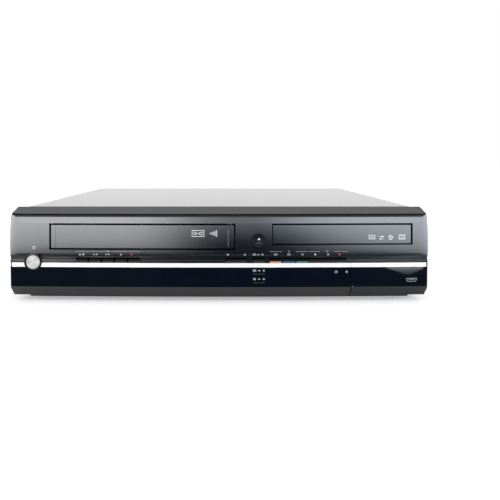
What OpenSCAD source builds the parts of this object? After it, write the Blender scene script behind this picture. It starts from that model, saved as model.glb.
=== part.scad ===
// Video cassette, disc and hard disk recorder in one cabinet.
// Millimetres. +X to the right seen from the front, front faces -Y, +Z up.
// The origin is under the middle of the cabinet, on the surface that it stands on.
// Inside the modules, y is measured backwards from the fascia's foremost point.

/* [Cabinet] */
// Width across the fascia at its widest
fascia_w = 430; // [426:1:436]
// Height from the table to the fascia's top edge
overall_h = 98; // [98:1:104]
// Depth from the fascia's foremost point to the rear edge of the cover
body_d = 351; // [349:1:370]
// How far the aerial sockets reach behind the cover
socket_reach = 6; // [4:1:9]
// Height of the rubber feet
foot_h = 8; // [6:1:10]
// Radius of the rubber feet
foot_r = 10; // [7:1:14]
// Distance of the feet's centres from the cover's sides
foot_inset = 23; // [21:1:40]
// Distance of the front feet from the fascia
foot_front_y = 40; // [34:1:60]
// Thickness of the bottom pan's sheet
pan_t = 1; // [0.8:0.1:1.6]
// Width of the sheet metal cover
cover_w = 422; // [421:0.5:424]
// Thickness of the cover's sheet
cover_t = 0.8; // [0.6:0.1:1.2]
// Depth of the fascia moulding from front to cover
fascia_d = 19.5; // [19:0.5:22]
// Thickness of the fascia's side walls
fascia_wall = 2.5; // [2:0.1:3]

/* [Front curve] */
// How far the front's curve falls back from the middle to the ends
front_sag = 4; // [3:0.5:5]
// Radius of the rounded vertical corners
corner_r = 25; // [20:1:30]
// Length along X that a rounded corner takes
corner_run = 12; // [8:1:14]

/* [Front levels] */
// Top of the light band above the doors
band_top = 90.6; // [90:0.1:90.8]
// Bottom of the light band, which is the top of the door openings
band_bottom = 82.7; // [82:0.1:83]
// Bottom of the flat part of the main face
face_bottom = 51.7; // [51:0.1:53]
// Top of the silver strip
strip_top = 42.2; // [41.6:0.1:42.6]
// Bottom of the silver strip
strip_bottom = 37.8; // [36:0.1:39]
// Bottom of the gloss window
window_bottom = 17.8; // [17:0.1:19]
// Underside of the chin
chin_bottom = 5; // [4.5:0.1:6]
// Thickness of the light band
band_t = 2.2; // [1.8:0.1:2.4]
// Thickness of the silver strip
strip_t = 1.6; // [1.2:0.1:2]
// Thickness of the gloss window
window_t = 2; // [1.5:0.1:2.2]

/* [Cassette door] */
// Middle of the cassette door
deck_x = -78.3; // [-79:0.1:-77.5]
// Width of the cassette opening
slot_w = 190; // [189:0.5:191]
// Bottom of the cassette opening
slot_bottom = 55.7; // [55:0.1:55.9]
// Gap round the cassette door at its sides
door_gap = 1; // [0.5:0.1:1]
// Lower edge of the cassette door
door_bottom = 57.5; // [56.5:0.1:58]
// Upper edge of the cassette door
door_top = 81.2; // [80.5:0.1:81.6]
// Thickness of the cassette door
door_t = 2.5; // [2:0.1:2.8]
// Radius of the door's hinge pins
door_pin_r = 1; // [0.8:0.1:1.1]

/* [Disc tray] */
// Middle of the disc drive
disc_x = 126; // [125.5:0.1:127]
// Width of the tray's front panel
tray_front_w = 142; // [139:0.5:142]
// Bottom of the tray's front panel
tray_front_bottom = 62.2; // [61.6:0.1:63]
// Top of the tray's front panel
tray_front_top = 81.3; // [81:0.1:82]
// Gap round the tray's front panel
tray_gap = 1; // [0.5:0.1:1]
// Width of the tray
tray_w = 133; // [130:0.5:134]
// Diameter of a disc
disc_d = 120; // [118:1:120]

/* [Keys] */
// Width of a small key
key_w = 11.6; // [10:0.1:12]
// Height of a small key
key_h = 3.4; // [3:0.1:3.6]
// Travel of a key
key_travel = 1; // [0.8:0.1:1.1]
// Diameter of the power button
power_d = 14; // [13:0.1:15]
// Middle of the power button across
power_x = -190; // [-192:0.1:-189]
// Middle of the power button above the table
power_z = 42.8; // [41.5:0.1:43]
// Diameter of the disc eject button
eject_d = 15.6; // [14:0.1:16]
// Middle of the disc eject button across
eject_x = 40.3; // [40:0.1:41]
// Middle of the disc eject button above the table
eject_z = 64.7; // [64:0.1:66]

/* [Socket flap] */
// Left edge of the flap
flap_x = 135; // [134:0.5:137]
// Thickness of the flap
flap_t = 2.4; // [2:0.1:2.6]
// Distance of the flap's hinge behind the front
flap_hinge_y = 12; // [11.8:0.1:12.4]
// Height of the flap's hinge above the table
flap_hinge_z = 13.5; // [13.2:0.1:14]
// Radius of the flap's hinge pins
flap_pin_r = 1; // [0.8:0.1:1.2]

/* [Cassette deck] */
// Top of the deck plate
deck_z = 24; // [23:0.5:25]
// Thickness of the deck plate
deck_t = 1.5; // [1.2:0.1:2]
// Length of the cassette holder
holder_d = 100; // [96:1:102]
// Width inside the cassette holder
holder_w = 188.4; // [188:0.1:188.6]
// Height inside the cassette holder
holder_h = 25.7; // [25.5:0.1:26]
// How far the carriage slides inwards
carriage_travel = 65; // [60:1:70]
// How far the holder drops
holder_drop = 20; // [18:1:20]
// Radius of the head drum
drum_r = 31; // [29:0.5:31]
// Tilt of the head drum
drum_tilt = 5; // [4:0.5:6]
// Distance between the reel spindles
reel_pitch = 92.4; // [90:0.2:94]

/* [Disc drive] */
// How far the tray slides out
tray_travel = 142; // [130:1:146]
// Teeth of the tray's drive gear
gear_teeth = 18; // [18:1:18]
// Size of the gear teeth (pitch diameter over teeth)
gear_module = 1; // [1:1:1]
// Radius of the turntable
turntable_r = 15; // [13:0.5:16]

/* [Hidden] */
$fn = 96;

// Clearances
seat_gap = 0.1;      // between trim pieces and their seats
slide_gap = 0.3;     // between moving pieces and their guides
pin_gap = 0.05;      // radial, between a pin and its bore
edge = 1;            // overrun of a cut

overall_d = body_d + socket_reach;
fascia_half = fascia_w / 2;
cover_half = cover_w / 2;
front_r = (fascia_half * fascia_half + front_sag * front_sag) / (2 * front_sag);
foot_x = cover_half - foot_inset;
pan_top = foot_h + pan_t;
pan_half = cover_half - cover_t - 0.2;
pan_y0 = fascia_d + 2;
rear_y = body_d - 2;
cover_z = overall_h - 1.6;
rear_top = cover_z - cover_t - 0.2;

// How far the curved front lies behind its foremost point at X
function arc_y(x) = front_r - sqrt(front_r * front_r - x * x);
corner_x = fascia_half - corner_run;
function corner_y(x) = abs(x) <= corner_x ? 0
  : corner_r - sqrt(corner_r * corner_r - pow(abs(x) - corner_x, 2));
function front_y(x) = arc_y(x) + corner_y(x);

// Colours
dark_metal = [0.17, 0.17, 0.18];
steel = [0.72, 0.73, 0.75];
black_plastic = [0.07, 0.08, 0.09];
silver = [0.85, 0.86, 0.87];
board_green = [0.10, 0.32, 0.20];

module from_front() {
  translate([0, -overall_d / 2, 0]) children();
}

// A box from one corner to the other
module slab(x, y, z) {
  translate([x[0], y[0], z[0]]) cube([x[1] - x[0], y[1] - y[0], z[1] - z[0]]);
}

// A box centred on X
module mid_slab(cx, w, y, z) {
  slab([cx - w / 2, cx + w / 2], y, z);
}

module rod_x(x, y, z, r) {
  translate([x[0], y, z]) rotate([0, 90, 0]) cylinder(h = x[1] - x[0], r = r);
}

module rod_y(x, y, z, r) {
  translate([x, y[0], z]) rotate([-90, 0, 0]) cylinder(h = y[1] - y[0], r = r);
}

module rod_z(x, y, z, r) {
  translate([x, y, z[0]]) cylinder(h = z[1] - z[0], r = r);
}

// Carries a (y, z) profile along the curve of the front, from x[0] to x[1]
module sweep(x) {
  a0 = asin(x[0] / front_r);
  a1 = asin(x[1] / front_r);
  translate([0, front_r, 0])
    rotate([0, 0, a0 - 90])
      rotate_extrude(angle = a1 - a0, $fn = 256)
        translate([front_r, 0]) mirror([1, 0]) children();
}

// Extrudes a (y, z) profile straight along X
module along_x(x) {
  translate([x[0], 0, 0])
    rotate([90, 0, 90]) linear_extrude(height = x[1] - x[0]) children();
}

// A box in (y, z) for the two modules above
module pane(y, z) {
  translate([y[0], z[0]]) square([y[1] - y[0], z[1] - z[0]]);
}

// Extrudes an (x, z) outline backwards
module along_y(y) {
  translate([0, y[1], 0]) rotate([90, 0, 0]) linear_extrude(height = y[1] - y[0]) children();
}

// A round-ended slot outline, centred, length along x
module slot_outline(length, w) {
  square([length - w, w], center = true);
  for (s = [-1, 1]) translate([s * (length - w) / 2, 0]) circle(d = w);
}

// ---------------------------------------------------------------- fascia

barrel = 0.9;        // how much narrower the top of the fascia's sides is
end_step = 0.5;      // how much narrower the sides are below the main face
chin_end = 6.9;      // underside of the chin at its ends
chin_end_x = 196.7;
chin_y = 11.5;       // how far back the chin slopes
trim_rise = 0.4;     // height of the dark groove under the top trim
trim_front_y = 0.8;
nose = 0.6;          // how far its front edge stands above its seat
top_z = overall_h;
trim_low = band_top + 0.7;
groove_z = [45.8, 46.9];
ledge_z = 43.2;
recess_y = 2;

// Plan of the fascia: rounded vertical corners
module plan_cut(z) {
  for (s = [-1, 1])
    scale([s, 1, 1])
      translate([0, 0, z[0]])
        linear_extrude(height = z[1] - z[0])
          difference() {
            translate([corner_x, -edge]) square([corner_run + 5, corner_r * 0.6]);
            translate([corner_x, arc_y(corner_x) + corner_r]) circle(r = corner_r, $fn = 192);
          }
}

// What the slightly barrelled sides leave outside, seen from the front
module end_cut() {
  h = fascia_half;
  for (s = [-1, 1])
    scale([s, 1, 1])
      along_y([-3, fascia_d + 9])
        polygon([[h - end_step - 1, -edge], [h - end_step, groove_z[0]], [h, 57], [h, 72],
          [h - barrel, 88], [h - barrel - 3, top_z + 1], [h + 9, top_z + 1],
          [h + 9, -edge]]);
}

// What every front piece is trimmed to at the cabinet's ends
module trimmed() {
  difference() {
    union() children();
    end_cut();
    plan_cut([-edge, top_z + 2]);
  }
}

// Underside of the top trim, a flat plane
trim_seat = [[7.2, trim_low], [fascia_d, top_z - 2.1]];
wall_front = band_t + 0.2;

inner_y = 5;         // back of the fascia's lower wall
flange_z = trim_low - 0.15;
flange_t = 1.95;
floor_t = 2.4;
floor_y = 16.2;

// Outer line of the front wall above the silver strip, from the top down
wall_upper = [[9, flange_z], [wall_front, flange_z], [wall_front, band_bottom - 0.05],
  [0, band_bottom - 0.05], [0, face_bottom], [0.2, face_bottom - 0.8], [0.7, face_bottom - 1.5],
  [1.4, face_bottom - 2], [recess_y, face_bottom - 2.3], [recess_y, groove_z[1]], [recess_y + 1.2, groove_z[1]], [recess_y + 1.2, groove_z[0]],
  [recess_y + 0.6, groove_z[0]], [0.6, ledge_z], [0.6, strip_top + 0.15]];
// and on down, behind the strip and the window and round the chin
wall_lower = [[strip_t + seat_gap, strip_top + 0.15], [strip_t + seat_gap, strip_bottom - 0.1],
  [window_t + 0.7, strip_bottom - 0.1], [window_t + 0.7, window_bottom + 0.1],
  [0.5, window_bottom + 0.1], [chin_y, chin_bottom], [floor_y, chin_bottom]];
// Inner line, from the bottom up
inner_lower = [[floor_y, chin_bottom + floor_t], [13.2, chin_bottom + floor_t],
  [inner_y - 0.4, 17.4], [inner_y, 18.4]];
inner_upper = [[inner_y, 49.6], [fascia_wall, 53.6], [fascia_wall, 80.4],
  [wall_front + 1.6, 82.2], [wall_front + 1.6, flange_z - flange_t], [9, flange_z - flange_t]];

flap_gap_x = flap_x - 0.3;
flap_swing_r = 9.4;

// Curved front wall; below the strip it ends at the flap, and the side walls take its ends
side_x = [fascia_half - fascia_wall - 1, fascia_half + 1];
module fascia_front() {
  difference() {
    sweep([-fascia_half - 3, fascia_half + 3])
      polygon(concat(wall_upper, wall_lower, inner_lower, inner_upper));
    slab([flap_gap_x, fascia_half + 9], [-3, 40], [0, strip_top + 0.15]);
    slab([side_x[0] + 0.2, fascia_half + 9], [-3, 40], [0, top_z]);
    slab([-fascia_half - 9, -side_x[0] - 0.2], [-3, 40], [0, top_z]);
    plan_cut([-edge, top_z + 2]);
  }
}

// Side view of a side wall: follows the front wall at the cabinet's ends
module side_profile() {
  y = front_sag + 0.3;
  polygon([[fascia_d, top_z - 2.2], [7.2, flange_z], [y + wall_front, flange_z],
    [y + wall_front, band_bottom], [y, band_bottom], [y, face_bottom],
    [y + recess_y + 1.2, groove_z[1]], [y + recess_y + 1.2, groove_z[0]],
    [y + 0.6, ledge_z], [y + window_t + 0.8, strip_top], [y + window_t + 0.8, window_bottom],
    [y + 0.5, window_bottom], [y + chin_y, chin_bottom], [fascia_d, chin_bottom]]);
}

module fascia_sides() {
  along_x([-side_x[1], -side_x[0]]) side_profile();
  // on the right, the flap and its swing are left free
  along_x(side_x)
    difference() {
      side_profile();
      translate([flap_hinge_y, flap_hinge_z]) circle(r = flap_swing_r + 0.5);
      pane([0, inner_y + front_sag], [0, strip_top + 0.15]);
      pane([0, fascia_d + edge], [0, flap_hinge_z]);
    }
}

module fascia_roof_and_floor() {
  roof = 1.9;
  along_x([-fascia_half, fascia_half])
    polygon([[7.2, flange_z], [fascia_d, top_z - 2.2], [fascia_d, top_z - 2.2 - roof],
      [7.2, flange_z - roof]]);
  slab([-fascia_half, flap_gap_x - 1], [floor_y - 0.2, fascia_d], [chin_bottom, chin_bottom + floor_t]);
}

slot_x = [deck_x - slot_w / 2, deck_x + slot_w / 2];
tray_x = [disc_x - tray_front_w / 2 - tray_gap, disc_x + tray_front_w / 2 + tray_gap];
door_hinge_y = 6.9;
door_hinge_z = 88.8;
ear_r = 1.8;
ear_t = 2;
ear_gap = 0.5;
bracket_t = 2.6;

// Left and right faces of the cassette door
door_x = [slot_x[0] + door_gap, slot_x[1] - door_gap];

vcr_key_x = [for (i = [0:4]) -140.1 + 13.4 * i];
program_x = 17.6;
program_w = 20.6;
dubbing_x = 40.5;
select_key_x = [for (i = [0:2]) 57.6 + 13.6 * i];
disc_key_x = [for (i = [0:2]) 97.4 + 13.3 * i];
key_gap = 0.35;
key_z = strip_top + 0.35;
key_slot_top = 47.6;

module key_slot(x0, x1) {
  slab([x0 - key_gap, x1 + key_gap], [-2, inner_y + 5], [strip_top + seat_gap, key_slot_top]);
}

module key_slots() {
  key_slot(vcr_key_x[0] - key_w / 2, vcr_key_x[4] + key_w / 2);
  key_slot(program_x - program_w / 2, program_x + program_w / 2);
  key_slot(dubbing_x - key_w / 2, dubbing_x + key_w / 2);
  for (x = select_key_x) key_slot(x - key_w / 2, x + key_w / 2);
  for (x = disc_key_x) key_slot(x - key_w / 2, x + key_w / 2);
}

display_x = [-60, 60];
display_z = [21, 35];
boss_x = [-196, -74, 74, 120];
boss_z = 15.5;
board_y = 14;
ring_r = 9;

// A plate hung from the ledge that holds one of the flap's hinge pins
hinge_boss_r = 1.5;
module flap_bracket(x) {
  along_x(x)
    union() {
      pane([flap_hinge_y - hinge_boss_r, flap_hinge_y + hinge_boss_r], [flap_hinge_z, 46]);
      translate([flap_hinge_y, flap_hinge_z]) circle(r = hinge_boss_r);
      pane([inner_y, flap_hinge_y], [43.2, 46]);
    }
}

flap_ear_x = [[flap_x + 1.6, flap_x + 3.6], [197.4, 199.4]];
flap_bracket_x = [[flap_x - 2.8, flap_x - 0.8], [200, 202]];

module front_fascia() {
  from_front() color(black_plastic) {
    difference() {
      union() {
        difference() {
          union() {
            fascia_front();
            trimmed() fascia_sides();
            trimmed() fascia_roof_and_floor();
          }
          slab([-fascia_half - 3, -chin_end_x], [-3, 40], [0, chin_end]);
        }
        // collar of the power button
        translate([power_x, 0, power_z])
          rotate([-90, 0, 0])
            translate([0, 0, arc_y(power_x) - 0.5])
              cylinder(h = 7, r = ring_r);
        // sleeve of the disc eject button
        rod_y(eject_x, [arc_y(eject_x) + 0.8, 9], eject_z, eject_d / 2 + 2);
        // bosses that carry the front board
        for (x = boss_x) rod_y(x, [3.5 + arc_y(x), board_y], boss_z + 3, 3);
        // ears that hold the cassette door's pins
        door_bracket(door_x[0] - ear_gap - bracket_t);
        door_bracket(door_x[1] + ear_gap);
        for (x = flap_bracket_x) flap_bracket(x);
        rod_x([flap_bracket_x[0][1] - edge, flap_ear_x[0][1] + 0.4], flap_hinge_y,
          flap_hinge_z, flap_pin_r);
        rod_x([flap_ear_x[1][0] - 0.4, flap_bracket_x[1][0] + edge], flap_hinge_y,
          flap_hinge_z, flap_pin_r);
      }
      // cassette opening
      slab([slot_x[0], slot_x[1]], [-3, 12], [slot_bottom, band_bottom]);
      slab([door_x[0] - ear_gap, door_x[1] + ear_gap], [-edge, 12],
        [band_bottom - 0.1, band_top - 1.6]);
      // notches for the door's ears, under the top trim
      for (x = [door_x[0], door_x[1] - ear_t])
        slab([x - ear_gap, x + ear_t + ear_gap], [door_hinge_y - ear_r - 0.5,
          door_hinge_y + ear_r + 3.4], [door_hinge_z - edge, band_top + 1]);
      // tray opening
      slab(tray_x, [-3, 12], [tray_front_bottom - tray_gap, band_bottom]);
      key_slots();
      rod_y(power_x, [-3, 16], power_z, power_d / 2 + slide_gap);
      rod_y(eject_x, [-3, 16], eject_z, eject_d / 2 + slide_gap);
      // light from the display
      slab(display_x, [-3, inner_y + 2], display_z);
      // bores for the cassette door's pins
      for (x = [door_x[0] - ear_gap - bracket_t, door_x[1] + ear_gap])
        rod_x([x - edge, x + bracket_t + edge], door_hinge_y, door_hinge_z,
          door_pin_r + pin_gap);
    }
  }
}

// A lug beside the cassette opening that holds one hinge pin
module door_bracket(x0) {
  slab([x0, x0 + bracket_t], [wall_front + arc_y(x0) + 0.6, door_hinge_y + 2.6],
    [door_hinge_z - 3.2, door_hinge_z + 2]);
}

// Bevelled trim over the fascia: curved lower edge, straight upper edge
module top_trim() {
  steps = 12;
  half = fascia_half - barrel - 0.2;
  xs = concat([-half, -half + 2.5, -half + 5, -half + 8],
    [for (i = [0:steps]) (2 * i / steps - 1) * (half - 11)],
    [half - 8, half - 5, half - 2.5, half]);
  n = len(xs);
  function rear_x(x) = x * (half - 2.2) / half;
  function seat_z(y) = trim_low + max(0, y - trim_seat[0][0])
    * (trim_seat[1][1] - trim_low) / (fascia_d - trim_seat[0][0]);
  points = [for (x = xs)
    let (front = trim_front_y + front_y(x), under = max(trim_seat[0][0], front + 1)) each [
      [x, front, seat_z(front) + nose],
      [rear_x(x), fascia_d, top_z],
      [rear_x(x), fascia_d, trim_seat[1][1]],
      [x, under, seat_z(under)]]];
  sides = [for (i = [0:n - 2], j = [0:3])
    let (a = 4 * i + j, b = 4 * i + (j + 1) % 4) each [[a, b, b + 4], [a, b + 4, a + 4]]];
  from_front() color(dark_metal)
    polyhedron(points, concat(sides, [[3, 2, 1, 0], [for (j = [0:3]) 4 * (n - 1) + j]]));
}

// Glossy light band above the doors
module upper_band() {
  from_front() color([0.45, 0.47, 0.5])
    trimmed()
      sweep([-fascia_half - 3, fascia_half + 3])
        polygon([[0, band_bottom], [0.1, band_bottom + 3], [0.4, band_top - 1.6],
          [0.8, band_top], [band_t, band_top], [band_t, band_bottom]]);
}

module power_hole() {
  rod_y(power_x, [-3, 14], power_z, ring_r + 0.15);
}

module silver_strip() {
  from_front() color(silver)
    trimmed()
      difference() {
        sweep([-fascia_half - 3, flap_x - 0.35]) strip_profile();
        power_hole();
      }
}

module strip_profile() {
  polygon([[0.5, strip_bottom], [0, strip_bottom + 0.6], [0, strip_top - 0.6], [0.5, strip_top],
    [strip_t, strip_top], [strip_t, strip_bottom]]);
}

module display_window() {
  from_front() color([0.02, 0.03, 0.05])
    trimmed()
      difference() {
        sweep([-fascia_half - 3, flap_x - 0.35])
          pane([0.5, 0.5 + window_t], [window_bottom + 0.15, strip_bottom - 0.15]);
        power_hole();
      }
}

// ---------------------------------------------------------------- flap

module flap_door() {
  back = 0.5 + flap_t;
  from_front() color([0.03, 0.04, 0.06])
    difference() {
      union() {
        trimmed()
          difference() {
            union() {
              sweep([flap_x, fascia_half + 3])
                polygon([[0.5, strip_bottom - 0.15], [0.5, window_bottom],
                  [chin_y, chin_bottom], [chin_y + 0.9, chin_bottom],
                  [chin_y + 1.4, chin_bottom + 2], [back + 0.4, window_bottom + 0.6],
                  [back, window_bottom + 1.6], [back + 0.6, strip_bottom - 0.15],
                  [back + 0.6, strip_top], [strip_t + seat_gap, strip_top],
                  [strip_t + seat_gap, strip_bottom - 0.15]]);
              flap_end();
            }
            slab([chin_end_x, fascia_half + 3], [-3, 40], [0, chin_end]);
            slab([flap_x - 3, flap_x], [-3, 40], [0, band_top]);
            // room for the bracket's boss and, as the flap swings, for the cover's corner
            rod_x([flap_bracket_x[1][0] - 0.4, flap_bracket_x[1][1] + 0.4], flap_hinge_y,
              flap_hinge_z, hinge_boss_r + 0.3);
            difference() {
              slab([cover_half - 2.5, fascia_half - fascia_wall], [flap_hinge_y, 40],
                [0, flap_hinge_z]);
              rod_x([cover_half - 3, fascia_half], flap_hinge_y, flap_hinge_z,
                fascia_d - flap_hinge_y - 0.2);
            }
          }
        for (x = flap_ear_x) flap_ear(x);
      }
      for (x = flap_ear_x)
        rod_x([x[0] - edge, x[1] + edge], flap_hinge_y, flap_hinge_z, flap_pin_r + pin_gap);
    }
}

// Cheek that closes the flap's right end, round about its hinge
module flap_end() {
  y = front_sag + 0.2;
  along_x([fascia_half - fascia_wall, fascia_half + 1])
    intersection() {
      translate([flap_hinge_y, flap_hinge_z]) circle(r = flap_swing_r);
      polygon([[y + 0.5, window_bottom], [y + chin_y, chin_bottom], [fascia_d, chin_bottom],
        [fascia_d, 30], [y + 0.5, 30]]);
    }
}

// An arm from the flap's back to its hinge
module flap_ear(x) {
  ear = 2.2;
  front = arc_y(x[0]) + 0.5 + flap_t - 0.8;
  low = flap_hinge_z - 0.6;
  // where the chin's slope has carried the wall at that height
  lean = (window_bottom - low) * (chin_y - 0.5) / (window_bottom - chin_bottom);
  rod_x(x, flap_hinge_y, flap_hinge_z, ear);
  along_x(x)
    polygon([[front, window_bottom + 9], [front, window_bottom], [front + lean, low],
      [flap_hinge_y, low], [flap_hinge_y, flap_hinge_z + ear],
      [front + ear, window_bottom + 1], [front + ear, window_bottom + 9]]);
}

module flap_trim() {
  from_front() color(silver)
    trimmed() sweep([flap_x, fascia_half + 3]) strip_profile();
}

// ---------------------------------------------------------------- cassette door

module cassette_door() {
  ear_x = [[door_x[0], door_x[0] + ear_t], [door_x[1] - ear_t, door_x[1]]];
  from_front() color([0.12, 0.13, 0.14])
    union() {
      sweep(door_x) pane([0, door_t], [door_bottom, door_top]);
      // stiffening rib along the lower edge
      sweep([door_x[0] + 4, door_x[1] - 4])
        pane([door_t - 0.5, door_t + 1.2], [door_bottom + 1, door_bottom + 2.2]);
      for (x = ear_x)
        along_x(x)
          union() {
            translate([door_hinge_y, door_hinge_z]) circle(r = ear_r);
            polygon([[door_hinge_y - ear_r, door_hinge_z],
              [door_hinge_y + ear_r, door_hinge_z],
              [arc_y(x[0]) + door_t + 1.4, door_top - 6],
              [arc_y(x[0]) + 1.2, door_top - 6],
              [arc_y(x[0]) + 1.2, door_top - 1],
              [door_hinge_y - ear_r, door_top + 0.6]]);
          }
      rod_x([door_x[0] - ear_gap - bracket_t + 0.4, door_x[0] + 0.5], door_hinge_y,
        door_hinge_z, door_pin_r);
      rod_x([door_x[1] - 0.5, door_x[1] + ear_gap + bracket_t - 0.4], door_hinge_y,
        door_hinge_z, door_pin_r);
    }
}

// ---------------------------------------------------------------- keys

board_front_y = board_y;
switch_h = 3.4;
key_back = board_front_y - switch_h - key_travel - 0.25;

// A key in the sloped ledge, with its plunger towards the switch board
module key(cx, w) {
  y0 = arc_y(cx);
  from_front() {
    along_x([cx - w / 2, cx + w / 2])
      polygon([[y0 + 0.7, key_z], [y0 + 0.4, key_z + 0.5], [y0 + 1.8, key_z + key_h],
        [y0 + 6, key_z + key_h], [y0 + 6, key_z]]);
    mid_slab(cx, 3, [y0 + 5, key_back], [key_z + 0.4, key_z + 2.4]);
  }
}

module eject_stop_key() color(dark_metal) key(vcr_key_x[0], key_w);
module rewind_key() color(dark_metal) key(vcr_key_x[1], key_w);
module forward_key() color(dark_metal) key(vcr_key_x[2], key_w);
module play_key() color(dark_metal) key(vcr_key_x[3], key_w);
module tape_record_key() color(dark_metal) key(vcr_key_x[4], key_w);
module dubbing_key() color(dark_metal) key(dubbing_x, key_w);
module select_key_1() color([0.85, 0.5, 0.35]) key(select_key_x[0], key_w);
module select_key_2() color([0.25, 0.45, 0.65]) key(select_key_x[1], key_w);
module select_key_3() color([0.28, 0.58, 0.5]) key(select_key_x[2], key_w);
module disc_stop_key() color(dark_metal) key(disc_key_x[0], key_w);
module disc_play_key() color(dark_metal) key(disc_key_x[1], key_w);
module disc_record_key() color(dark_metal) key(disc_key_x[2], key_w);

// Rocker with two faces, which tilts about the pin in its middle
module program_key() {
  groove = 0.8;
  color(dark_metal) {
    for (s = [-1, 1]) key(program_x + s * (program_w + groove) / 4, (program_w - groove) / 2);
    from_front() {
      mid_slab(program_x, program_w - 2, [4.4, 6], [key_z, key_z + 2]);
      rod_z(program_x, 6, [key_z - 0.01, key_z + key_h], 1.2);
    }
  }
}

module power_button() {
  y0 = arc_y(power_x);
  from_front() color(silver)
    translate([power_x, 0, power_z]) rotate([-90, 0, 0]) {
      // slightly domed cap on a stem
      rotate_extrude() {
        polygon([[0, y0 - 1.1], [power_d / 4, y0 - 1], [power_d / 2 - 0.7, y0 - 0.75],
          [power_d / 2, y0 - 0.2], [power_d / 2, y0 + 4], [2, y0 + 4],
          [2, key_back], [0, key_back]]);
      }
    }
}

module disc_eject_button() {
  y0 = arc_y(eject_x);
  from_front() color(black_plastic)
    translate([eject_x, 0, eject_z]) rotate([-90, 0, 0])
      rotate_extrude()
        polygon([[0, y0 + 0.9], [eject_d / 4, y0 + 0.75], [eject_d / 2 - 1.2, y0 + 0.2],
          [eject_d / 2, y0 + 0.5], [eject_d / 2, y0 + 6], [2, y0 + 6],
          [2, key_back], [0, key_back]]);
}

// ---------------------------------------------------------------- front electronics

module switch_at(x, z) {
  mid_slab(x, 6, [board_y - switch_h, board_y], [z - 2.6, z + 2.6]);
}

module front_board() {
  z = key_z + 1.4;
  board = [-202, flap_x - 8];
  from_front() color(board_green)
    union() {
      difference() {
        slab(board, [board_y, board_y + 1.6], [12, 50]);
        for (x = boss_x) rod_y(x, [board_y - edge, board_y + 3], boss_z + 3, 1.2);
      }
      // the part of the board that carries the eject button's switch
      mid_slab(eject_x, 16, [board_y, board_y + 1.6], [49, 70]);
      for (x = concat(vcr_key_x, select_key_x, disc_key_x, [dubbing_x, power_x])) switch_at(x, z);
      for (s = [-1, 1]) switch_at(program_x + s * program_w / 4, z);
      switch_at(eject_x, eject_z);
      // ribbon connector
      mid_slab(-40, 34, [board_y + 1.5, board_y + 8], [34, 40]);
    }
}

// Fluorescent display on its carrier
module display_module() {
  from_front() color([0.15, 0.17, 0.2])
    union() {
      slab([display_x[0] - 4, display_x[1] + 4], [inner_y + 1.2, inner_y + 5.2],
        [display_z[0] - 1.5, display_z[1] + 1.5]);
      slab([display_x[0] - 6, display_x[1] + 6], [inner_y + 5, board_y - seat_gap],
        [display_z[0] - 3, display_z[1] + 3]);
    }
}

// Sockets behind the flap: round video, three phono and a small data socket
front_socket_y = flap_hinge_y + 11.6;
front_socket_z = 29;
module front_sockets() {
  y = front_socket_y;
  z = front_socket_z;
  from_front() {
    color(board_green) slab([139, 203], [y + 1.9, y + 22], [z - 11.6, z - 10]);
    color(black_plastic)
      difference() {
        union() {
          slab([141, 202], [y, y + 2], [z - 10, z + 8]);
          slab([142, 201], [y + 1.9, y + 14], [z - 10, z + 7]);
        }
        rod_y(149, [y - edge, y + 9], z, 4.6);
        translate([196, y - edge, z]) rotate([-90, 0, 0])
          translate([-3, -2.2, 0]) cube([6, 4.4, 9]);
      }
    for (x = [161, 174, 187])
      color([0.8, 0.65, 0.2])
        difference() {
          rod_y(x, [y - 7, y + 1], z, 4.15);
          rod_y(x, [y - 8, y], z, 1.7);
        }
  }
}

// ---------------------------------------------------------------- cabinet

foot_y = [foot_front_y, body_d - 41];
hdd_x = [disc_x - 50.8, disc_x + 50.8];
hdd_y = [118, 265];
hdd_z = pan_top + 7;
deck_post_x = [deck_x - 108, deck_x + 108];
deck_post_y = [54, 256];
deck_under = deck_z - deck_t;

module bottom_chassis() {
  from_front() color(steel)
    difference() {
      union() {
        slab([-pan_half, pan_half], [pan_y0, rear_y], [foot_h, pan_top]);
        for (s = [-1, 1])
          scale([s, 1, 1])
            slab([pan_half - pan_t, pan_half], [pan_y0, rear_y], [foot_h, pan_top + 14]);
        slab([-pan_half, flap_x - 6], [pan_y0, pan_y0 + pan_t], [foot_h, pan_top + 9]);
        // pressed pads that the feet are fixed under
        for (s = [-1, 1], y = foot_y)
          rod_z(s * foot_x, y, [foot_h, pan_top + 1.2], foot_r + 2);
        // posts for the deck, the drive and the boards
        for (x = deck_post_x, y = deck_post_y)
          rod_z(x, y, [pan_top - 0.1, deck_under], 4);
        for (x = hdd_x, y = [hdd_y[0] + 18, hdd_y[1] - 18])
          translate([x + (x < disc_x ? 5 : -5), y, pan_top - 0.1]) cylinder(h = 7.1, r = 4);
        for (p = board_posts) rod_z(p[0], p[1], [pan_top - 0.1, board_z], 3);
      }
      for (p = cover_screw_yz) rod_x([-pan_half - edge, pan_half + edge], p[0], p[1], 1.6);
      // cooling slots
      for (x = [-150:14:-80], y = [100:40:180])
        translate([x, y, foot_h - edge]) linear_extrude(height = 4)
          rotate([0, 0, 90]) slot_outline(28, 3.4);
      for (x = [92:14:162])
        translate([x, 90, foot_h - edge]) linear_extrude(height = 4)
          rotate([0, 0, 90]) slot_outline(28, 3.4);
    }
}

// One foot: a rubber cup with a softer pad and a screw recess
module foot() {
  rotate_extrude()
    polygon([[0, 2], [foot_r * 0.35, 2], [foot_r * 0.35, 0], [foot_r * 0.85, 0],
      [foot_r * 0.93, 0.6], [foot_r, foot_h], [0, foot_h]]);
}

module feet() {
  from_front() color(black_plastic)
    for (s = [-1, 1], y = foot_y) translate([s * foot_x, y, 0]) foot();
}

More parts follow.
